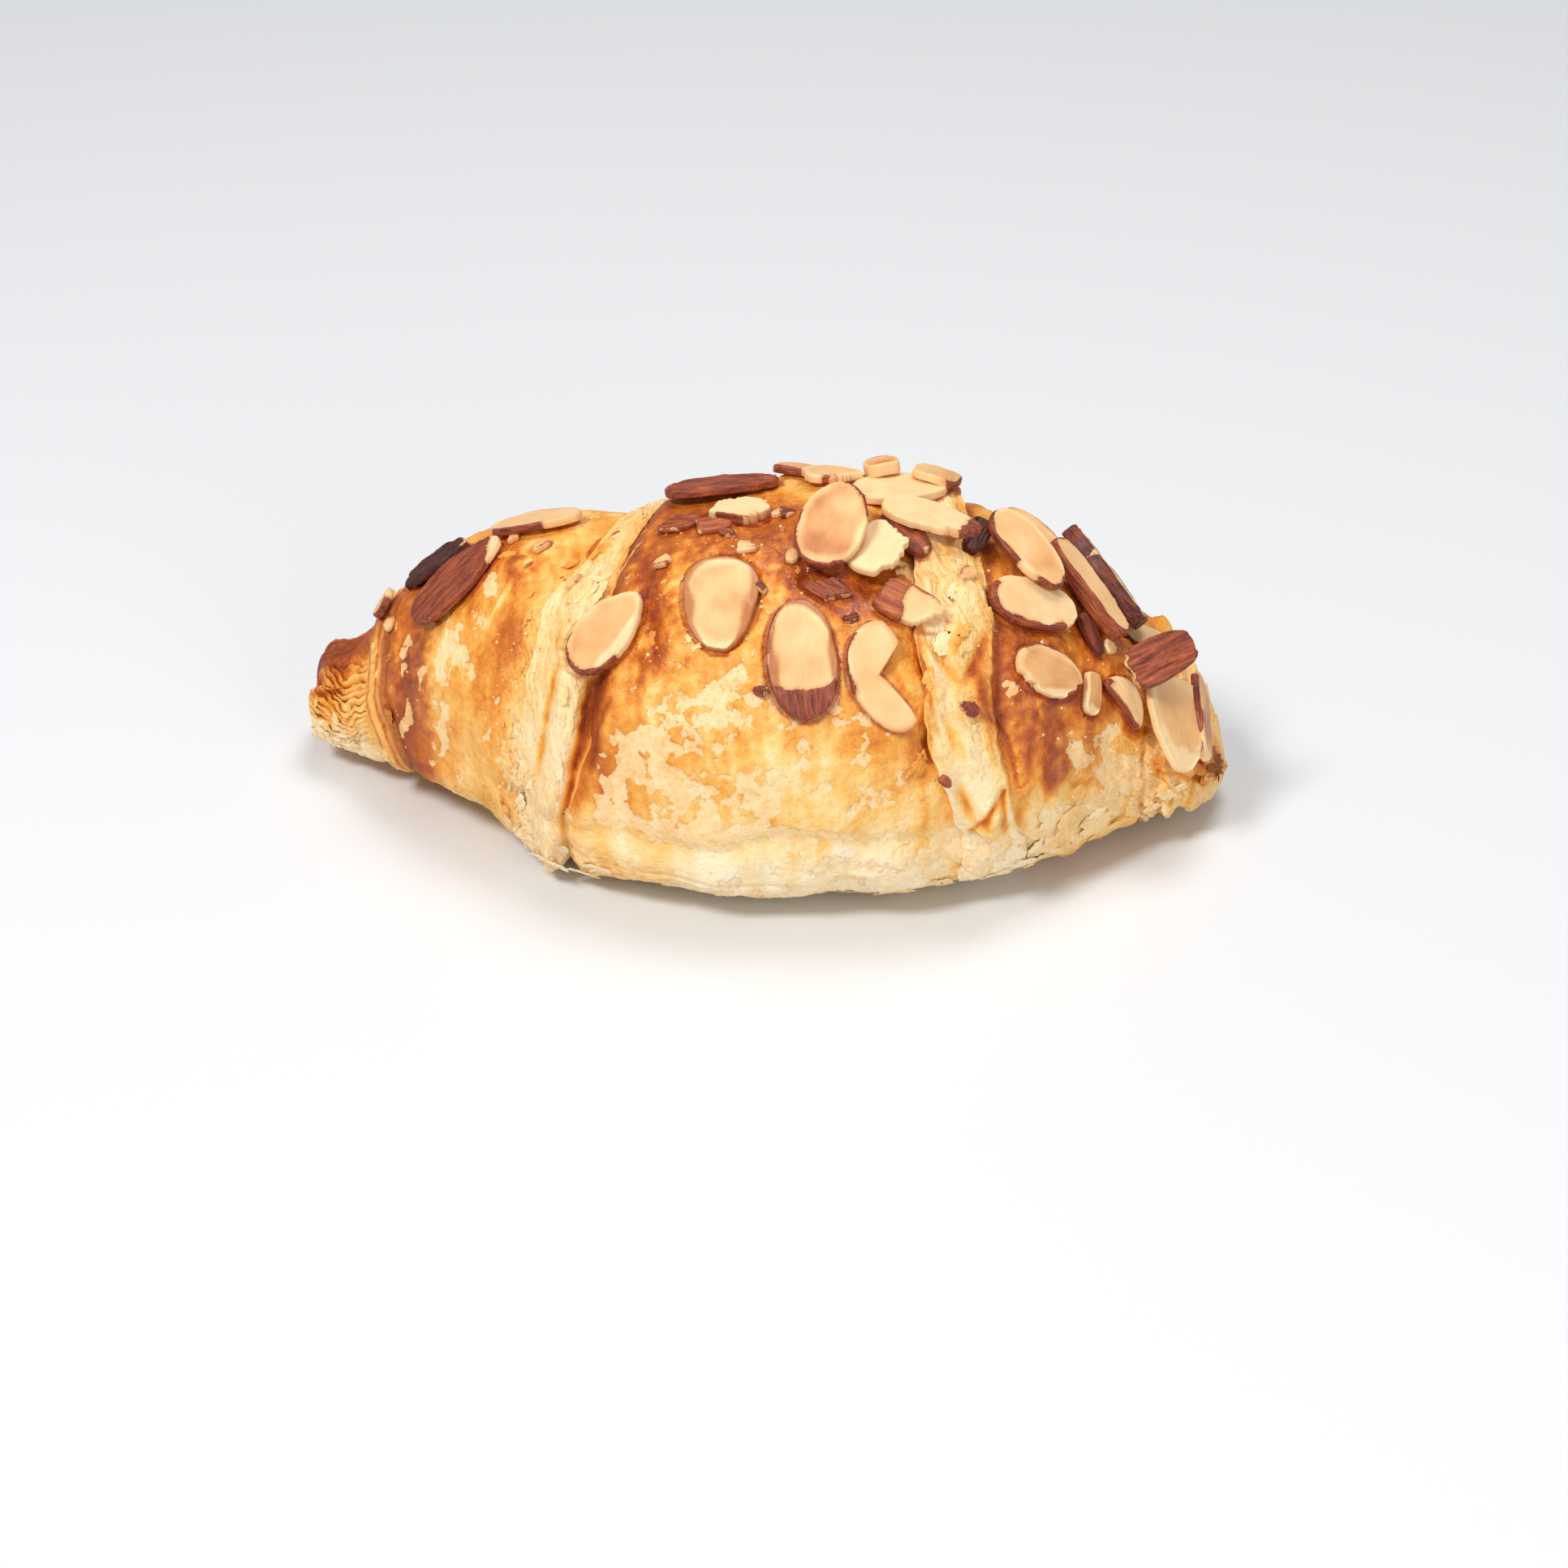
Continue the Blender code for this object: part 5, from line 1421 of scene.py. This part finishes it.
FLAKE_BAKE = 0.85           # of the crust's own bake, which the flakes take
FLAKE_SHORTEST, FLAKE_WIDTHS = 0.6, (0.35, 0.7)     # share of the drawn length, of the length
FLAKE_CRUMB = 0.35
FLAKE_CLEARANCE = 0.2       # mm over the floor
FLAKE_MARGIN, CRUMB_MARGIN = 1.0, 0.5       # mm kept free round the slices
FLAKE_THICKNESS, FLAKE_THINNER = 0.25, 0.5      # mm, and the share that is lost at the edge
FLAKE_COLUMNS, FLAKE_ROWS = 9, 6
FLAKE_RING, FLAKE_RING_STEP = 2.0, 5.0      # where each flake's outline is drawn
FLAKE_HINGE, FLAKE_CURL_POWER = 0.35, 1.6
FLAKE_ARCH, FLAKE_GAP = 0.25, 0.10          # across the flake, and under it

# Crumbs: x from and to, angle from and to, how many, and their size from and to
CRUMBS = (
    (-48, -38, -20, 50, 60, 0.3, 0.8), (-24, 6, 24, 96, 130, 0.3, 0.8),
    (-16, 42, 40, 80, 110, 0.3, 0.9), (44, 80, -20, 66, 70, 0.3, 0.9),
    (-40, 40, -34, -10, 50, 0.3, 0.7),
)
CRUMB_SPREAD = (0.6, 1.2)   # unevenness of their corners
CRUMB_BAKE = (0, 1.2)       # of the crust's own bake
CRUMB_CORNERS = ((0, 0, 1), (0, 0, -1), (1, 0, 0), (-1, 0, 0), (0, 1, 0), (0, -1, 0))
CRUMB_FACES = ((0, 2, 4), (0, 4, 3), (0, 3, 5), (0, 5, 2),
               (1, 4, 2), (1, 3, 4), (1, 5, 3), (1, 2, 5))


def flake_mesh(place, directions, length, width, lean, number):
    """A thin ragged sheet, held at its near end, with its far end curling up."""
    long_way, cross_way, out = directions
    s, t = np.meshgrid(np.linspace(-1, 1, FLAKE_COLUMNS), np.linspace(-1, 1, FLAKE_ROWS),
                       indexing="ij")
    u = s * np.sqrt(1 - t * t / 2)
    v = t * np.sqrt(1 - s * s / 2)
    ring = np.stack([FLAKE_RING * u, FLAKE_RING * v, 0 * u + FLAKE_RING_STEP * number], -1)
    ragged = 1 + uneven("flake outline", ring) + uneven("flake nicks", ring)
    u = u * ragged * length / 2
    v = v * ragged * width / 2
    rise = lean * np.clip(u / length + FLAKE_HINGE, 0, 1) ** FLAKE_CURL_POWER * length
    curl = uneven("flake curl", ring) - FLAKE_ARCH * v * v / width
    to_edge = np.maximum(np.abs(s), np.abs(t)) ** 3
    thin = FLAKE_THICKNESS * (1 - FLAKE_THINNER * to_edge)
    top = (place + u[..., None] * long_way + v[..., None] * cross_way
           + (rise + curl + FLAKE_GAP)[..., None] * out)
    bottom = top - thin[..., None] * out
    points = np.concatenate([top.reshape(-1, 3), bottom.reshape(-1, 3)])
    grid = np.arange(FLAKE_COLUMNS * FLAKE_ROWS).reshape(FLAKE_COLUMNS, FLAKE_ROWS)
    sheet = np.stack([grid[:-1, :-1], grid[1:, :-1], grid[1:, 1:], grid[:-1, 1:]], -1)
    sheet = sheet.reshape(-1, 4)
    rim = np.concatenate([grid[:, 0], grid[-1, 1:], grid[-2::-1, -1], grid[0, -2:0:-1]])
    after = np.roll(rim, -1)
    wall = np.stack([rim, rim + grid.size, after + grid.size, after], -1)
    faces = np.concatenate([sheet, sheet[:, ::-1] + grid.size, wall])
    return points, faces.tolist()


# ---------------------------------------------------------------- making the pieces

SHARP_ANGLE = 70            # degrees between faces, beyond which an edge is drawn sharp

# The crust is made in pieces that meet in the grooves between its turns.
CRUST_PIECES = (("crust_left", TIP, LEFT_PART), ("crust_left_band", LEFT_BAND, LEFT_BAND),
                ("crust_middle", MIDDLE, MIDDLE), ("crust_right", RIGHT_BAND, RIGHT_TIP))


def make_piece(name, mass, material, node="croissant"):
    """One piece of the scene, from its points, faces, painted fields and vectors."""
    points, faces, fields, vectors = mass
    mesh = bpy.data.meshes.new(name)
    points = (np.asarray(points) + ORIGIN_SHIFT) * MM
    mesh.from_pydata(points.tolist(), [], faces)
    mesh.materials.append(material)
    mesh.shade_smooth()
    mesh.set_sharp_from_angle(angle=np.radians(SHARP_ANGLE))
    for kind, socket, painted in (("FLOAT", "value", fields),
                                  ("FLOAT_VECTOR", "vector", vectors)):
        for field, values in painted.items():
            attribute = mesh.attributes.new(field, kind, "POINT")
            attribute.data.foreach_set(socket, np.asarray(values, np.float32).ravel())
    piece = bpy.data.objects.new(name, mesh)
    bpy.context.scene.collection.objects.link(piece)
    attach(piece, "root")
    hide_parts(node)


def joined(parts):
    """Many small meshes as one: each has points, faces, fields and vectors."""
    points, faces, shift = [], [], 0
    for part_points, part_faces, _, _ in parts:
        points.append(part_points)
        faces.extend([tuple(corner + shift for corner in face) for face in part_faces])
        shift += len(part_points)
    fields, vectors = ({name: np.concatenate([part[k][name] for part in parts])
                        for name in parts[0][k]} for k in (2, 3))
    return np.concatenate(points), faces, fields, vectors


def ring_angles():
    start, end, steps = FRONT_ANGLES
    front = np.linspace(start, end, steps + 1)
    rear = np.linspace(end, start + 360, REAR_STEPS + 1)[1:-1]
    degrees = np.concatenate([front, rear])
    return np.radians((degrees + 90) % 360 - 90)


def crust_zone(number, is_last, angle):
    """The crust of one zone, pressed down under the almonds."""
    columns = ZONES[number].columns
    share = np.arange(columns) / columns
    if number == TIP:
        share = np.maximum(share, FIRST_ROW)
    if is_last:
        share = np.append(share, LAST_ROW if number == RIGHT_TIP else 1.0)
    crust = Crust(number, share[:, None], angle)
    crust.pool = np.zeros_like(crust.toast)
    for item in SLICES:
        crust.points, touching = press_under(crust.points, item)
        # Where a slice touches the crust: glaze gathers there, and painted shade darkens it
        crust.pool = np.maximum(crust.pool, touching)
    crust.points[..., 2] = np.maximum(crust.points[..., 2], 0.0)
    return crust


def make_crust(material):
    angle = ring_angles()
    last_zones = [last for _, _, last in CRUST_PIECES]
    with ThreadPoolExecutor() as pool:
        zones = list(pool.map(lambda number: crust_zone(number, number in last_zones, angle),
                              range(len(ZONES))))
    for name, first, last in CRUST_PIECES:
        parts = zones[first:last + 1]
        points = np.concatenate([part.points for part in parts])
        faces = loft_faces(*points.shape[:2])
        left_cap = END_CAPS[0] if first == TIP else 0.0
        right_cap = END_CAPS[1] if last == RIGHT_TIP else 0.0
        ends = [points[0].mean(axis=0) - np.array([left_cap, 0, 0]),
                points[-1].mean(axis=0) + np.array([right_cap, 0, 0])]
        points = np.concatenate([points.reshape(-1, 3), ends])
        fields = {}
        for field in CRUST_FIELDS:
            values = np.concatenate([getattr(part, field) for part in parts])
            fields[field] = np.append(values.ravel(), [values[0].mean(), values[-1].mean()])
        grain = np.concatenate([part.grain for part in parts]).reshape(-1, 3)
        grain = np.concatenate([grain, grain[:1], grain[-1:]])
        make_piece(name, (points, faces, fields, {"grain": grain}), material)


def crust_spots(x, degrees):
    """The crust's points and bake at many places."""
    angle = np.radians(degrees)[:, None]
    lines = np.array([line[:, 0] for line in seam_lines(angle)])
    numbers = np.clip((lines <= x).sum(axis=0) - 1, 0, len(ZONES) - 1)
    points, toast = np.zeros((len(x), 3)), np.zeros(len(x))
    for number in np.unique(numbers):
        here = numbers == number
        left, right = lines[number, here], lines[number + 1, here]
        share = (x[here] - left) / (right - left)
        crust = Crust(number, share[:, None], angle[here])
        points[here] = crust.points[:, 0]
        toast[here] = crust.toast[:, 0]
    return points, toast


def make_chips(material):
    x, degrees = (np.array([row[k] for row in CHIPS], float) for k in (0, 1))
    points, _ = crust_spots(x, degrees)
    parts = []
    for number, (row, point) in enumerate(zip(CHIPS, points), len(SLICES)):
        place, angle, spin, length, width, skin, bake = row
        plain, _, _, out = plain_frame(place, np.radians(angle))
        lift = (point - plain) @ out + CHIP_LIFT + CHIP_LIFT_LENGTH * length
        turn = CHIP_TURN * number
        cuts = tuple((turn + apart, share * width) for apart, share in CHIP_CUTS)
        chip = Slice("chip", place, angle, spin, length, width, lift=lift, skin=skin,
                     bake=bake, bark=((turn, CHIP_BARK_HALF),), cuts=cuts, **CHIP_FORM)
        parts.append(slice_mesh(chip, number))
    make_piece("almond_chips", joined(parts), material)


def scattered(rows, random, margin):
    """Random places on stretches of the crust: the rest of the stretch's row, x, angle,
    point, bake, and whether a slice of almond lies over it or closer than the margin."""
    for x_from, x_to, angle_from, angle_to, count, *more in rows:
        x = random.uniform(x_from, x_to, count)
        degrees = random.uniform(angle_from, angle_to, count)
        points, toast = crust_spots(x, degrees)
        covered = is_covered(points, margin)
        for k in range(count):
            yield more, x[k], degrees[k], points[k], toast[k], covered[k]


def scrap(points, faces, grain, **painted):
    """A loose bit of crust: its points, faces, painted fields and grain."""
    fields = {name: np.full(len(points), painted.get(name, 0.0)) for name in CRUST_FIELDS}
    return points, faces, fields, {"grain": grain}


def make_flakes(material):
    random = np.random.default_rng(FLAKE_SEED)
    parts = []
    for more, x, degrees, point, toast, is_under in scattered(FLAKES, random, FLAKE_MARGIN):
        small, large, spin, spread, lean_most, paler, darker = more
        length = random.uniform(small, large) * random.uniform(FLAKE_SHORTEST, 1.0)
        width = length * random.uniform(*FLAKE_WIDTHS)
        turn = np.radians(spin + random.normal() * spread + 180 * random.integers(0, 2))
        lean = np.radians(random.uniform(0, lean_most))
        bake = FLAKE_BAKE * toast + random.uniform(paler, darker)
        if is_under:
            continue
        _, along, around, out = plain_frame(x, np.radians(degrees))
        long_way, _ = turned(along, around, turn)
        directions = long_way, np.cross(out, long_way), out
        points, faces = flake_mesh(point, directions, length, width, lean, len(parts))
        if points[:, 2].min() >= FLAKE_CLEARANCE:
            parts.append(scrap(points, faces, points, toast=bake, flake=-1.0,
                               crumb=FLAKE_CRUMB))
    make_piece("loose_flakes", joined(parts), material)


def make_crumbs(material):
    random = np.random.default_rng(FLAKE_SEED + 1)
    corners = np.array(CRUMB_CORNERS, float)
    parts = []
    for sizes, _, _, point, toast, is_under in scattered(CRUMBS, random, CRUMB_MARGIN):
        size = random.uniform(*sizes) / 2
        shape = corners * random.uniform(*CRUMB_SPREAD, corners.shape) * size
        turn, _ = np.linalg.qr(random.normal(size=(3, 3)))
        bake = random.uniform(*CRUMB_BAKE) * toast
        if not is_under:
            shape = shape @ turn * np.sign(np.linalg.det(turn))
            parts.append(scrap(point + shape, CRUMB_FACES, shape, toast=bake, flake=-1.0,
                               crumb=1.0))
    make_piece("crumbs", joined(parts), material)


# ---------------------------------------------------------------- finishes

# Colours from pale to dark: place on the ramp, then red, green and blue as a screen shows them
BAKED = (
    (0.00, 255, 238, 204), (0.14, 253, 224, 170), (0.30, 250, 198, 112), (0.44, 238, 160, 60),
    (0.57, 212, 116, 30), (0.70, 170, 76, 14), (0.83, 120, 44, 8), (1.00, 72, 24, 6),
)
DOUGH = ((0.30, 255, 232, 190), (0.70, 251, 212, 154), (1.0, 237, 182, 114))
DRY_DOUGH = (
    (0.26, 255, 232, 188), (0.54, 252, 210, 144), (0.80, 243, 178, 92), (1.0, 212, 132, 56),
)
FLESH = (
    (0.0, 245, 209, 156), (0.25, 241, 193, 134), (0.55, 233, 176, 114), (0.80, 218, 150, 90),
    (1.0, 190, 118, 64),
)
HUSK = (
    (0.0, 52, 20, 12), (0.25, 94, 34, 16), (0.50, 142, 60, 30), (0.75, 176, 88, 44),
    (1.0, 202, 124, 70),
)
SET_GLAZE = ((0.0, 238, 184, 112), (0.5, 214, 138, 64), (1.0, 172, 92, 34))
# Painted shadow along the torn edges of flaked patches, then glaze gathered round the almonds,
# darkened as painted shade where they meet the crust
FLAKE_EDGE_SHADOW, POOL_GLAZE_AND_SHADE = (214, 146, 74), (190, 98, 34)
# Painted shade in the slits between the tip's layers, then the almond flesh's stain beside its
# skin
SLIT_SHADE_COLOUR, STAIN_SHADE = (136, 68, 26), (206, 130, 66)

# Sizes of the noise in the finishes, in metres on the crust and in mm on the almonds
BLOTCH_SIZE, SPECK_SIZE, GRAIN_SIZE = 0.0050, 0.0013, 0.00035
FINE_SIZE, BROAD_SIZE, WRINKLE_SIZE = 0.45, 4.5, 0.8
CRUMB_STRANDS = (2.2, 0.16, 1.0)    # how the grain is drawn out, in each direction
FLESH_STRANDS, HUSK_STRANDS = (0.30, 1.6, 1.0), (0.16, 1.5, 1.0)

# Depths of the relief, in metres
SPECK_DEPTH, FLAKED_DEPTH, FIBRE_DEPTH, GRAIN_DEPTH = 0.00055, -0.00009, 0.00030, 0.00011
HUSK_DEPTH, FLESH_DEPTH = 0.00030, 0.00006


def crust_paint():
    paint = Paint("baked_crust")
    place = paint.place()
    blotch = paint.noise(place, BLOTCH_SIZE, 3.0, 0.6)
    speck = paint.noise(place, SPECK_SIZE, 3.0, 0.6)
    grain = paint.noise(place, GRAIN_SIZE)
    bake, crumb, pool = (paint.painted(name) for name in ("toast", "crumb", "pool"))
    toast = bake + blotch.spread(0.15) + speck.spread(0.22) + grain.spread(0.08)
    baked = paint.ramp(toast, BAKED)
    torn_edge = paint.painted("flake") + speck.spread(0.26) + grain.spread(0.14)
    flaked = torn_edge.above(-0.025, 0.025)
    # A thin darker line just outside each flaked patch: painted shadow along its torn edge
    outline = torn_edge.above(-0.10, -0.02) * (1 - flaked)
    dough = paint.ramp(speck + blotch.spread(0.7) + bake * 0.5, DOUGH)
    colour = paint.blend(outline * 0.08, baked, srgb(*FLAKE_EDGE_SHADOW), "MULTIPLY")
    colour = paint.blend(flaked * (0.72 + speck * 0.36), colour, dough)
    strands = paint.stretch(paint.painted("grain", "Vector"), CRUMB_STRANDS)
    fibre = paint.noise(strands, 1.0, 3.0, 0.55)
    fleck = paint.painted("edge") * blotch.above(0.45, 0.62)
    dry = paint.ramp(fibre + speck.spread(0.5) + bake * 0.7 + fleck * 0.22, DRY_DOUGH)
    colour = paint.blend(crumb * 0.75, colour, dry)
    # Glaze gathered round the almonds, darkened as painted shade where they meet the crust
    amber = (pool + speck.spread(0.3)).above(0.25, 0.85)
    colour = paint.blend(amber * 0.70, colour, srgb(*POOL_GLAZE_AND_SHADE), "MULTIPLY")
    # Painted shade in the slits between the tip's layers
    crack = paint.painted("crack").above(0.2, 0.8)
    paint.set("Base Color", paint.blend(crack * 0.70, colour, srgb(*SLIT_SHADE_COLOUR)))
    glaze = paint.painted("glaze") * (1 - flaked)
    glint = speck.above(0.58, 0.66) * glaze
    paint.set("Roughness", 0.60 - glaze * 0.28 - pool * 0.12 - glint * 0.14)
    paint.set("Coat Weight", glaze * 0.10 + pool * 0.15 + glint * 0.50)
    paint.set("Coat Roughness", 0.09)
    paint.set("Specular IOR Level", 0.38)
    relief = None
    for height, depth in ((speck, SPECK_DEPTH), (flaked, FLAKED_DEPTH),
                          (fibre * crumb, FIBRE_DEPTH), (grain, GRAIN_DEPTH)):
        relief = paint.relief(height, depth, relief)
    paint.set("Normal", relief)
    return paint.material


def almond_paint():
    paint = Paint("sliced_almond")
    grain = paint.painted("grain", "Vector")
    fibre = paint.noise(paint.stretch(grain, FLESH_STRANDS), 1.0, 3.0, 0.6)
    fine = paint.noise(grain, FINE_SIZE)
    broad = paint.noise(grain, BROAD_SIZE)
    flesh = paint.ramp(paint.painted("tan") + broad.spread(0.36) + fibre.spread(0.24), FLESH)
    wrinkle = paint.noise(paint.stretch(grain, HUSK_STRANDS), WRINKLE_SIZE, 3.0, 0.6)
    tone = wrinkle * 1.3 + broad.spread(0.5) + fine * 0.3 - paint.painted("bake") * 0.75
    husk = paint.ramp(tone, HUSK)
    bark = paint.painted("bark") + fine.spread(0.8)
    skin = bark.above(-0.10, 0.10)
    stain = bark.above(-0.9, 0.0) * (1 - skin)
    flesh = paint.blend(stain * 0.45, flesh, srgb(*STAIN_SHADE), "MULTIPLY")
    colour = paint.blend(skin, flesh, husk)
    amber = (paint.painted("amber") + fine.spread(0.25)).above(0.2, 0.9)
    glazed = paint.ramp(amber + broad.spread(0.5), SET_GLAZE)
    paint.set("Base Color", paint.blend(amber * (1 - skin) * 0.85, colour, glazed))
    paint.set("Roughness", 0.50 + skin * 0.08 - amber * 0.15)
    paint.set("Coat Weight", 0.05 + amber * 0.15)
    paint.set("Coat Roughness", 0.22)
    under = paint.relief(wrinkle * skin, HUSK_DEPTH)
    paint.set("Normal", paint.relief(fibre + fine * 0.5, FLESH_DEPTH, under))
    return paint.material


def main():
    add_camera()
    add_studio()
    crust = crust_paint()
    make_crust(crust)
    make_flakes(crust)
    make_crumbs(crust)
    almond = almond_paint()
    make_chips(almond)
    for number, item in enumerate(SLICES):
        make_piece(f"sliced_{item.name}", slice_mesh(item, number), almond, item.name)


main()
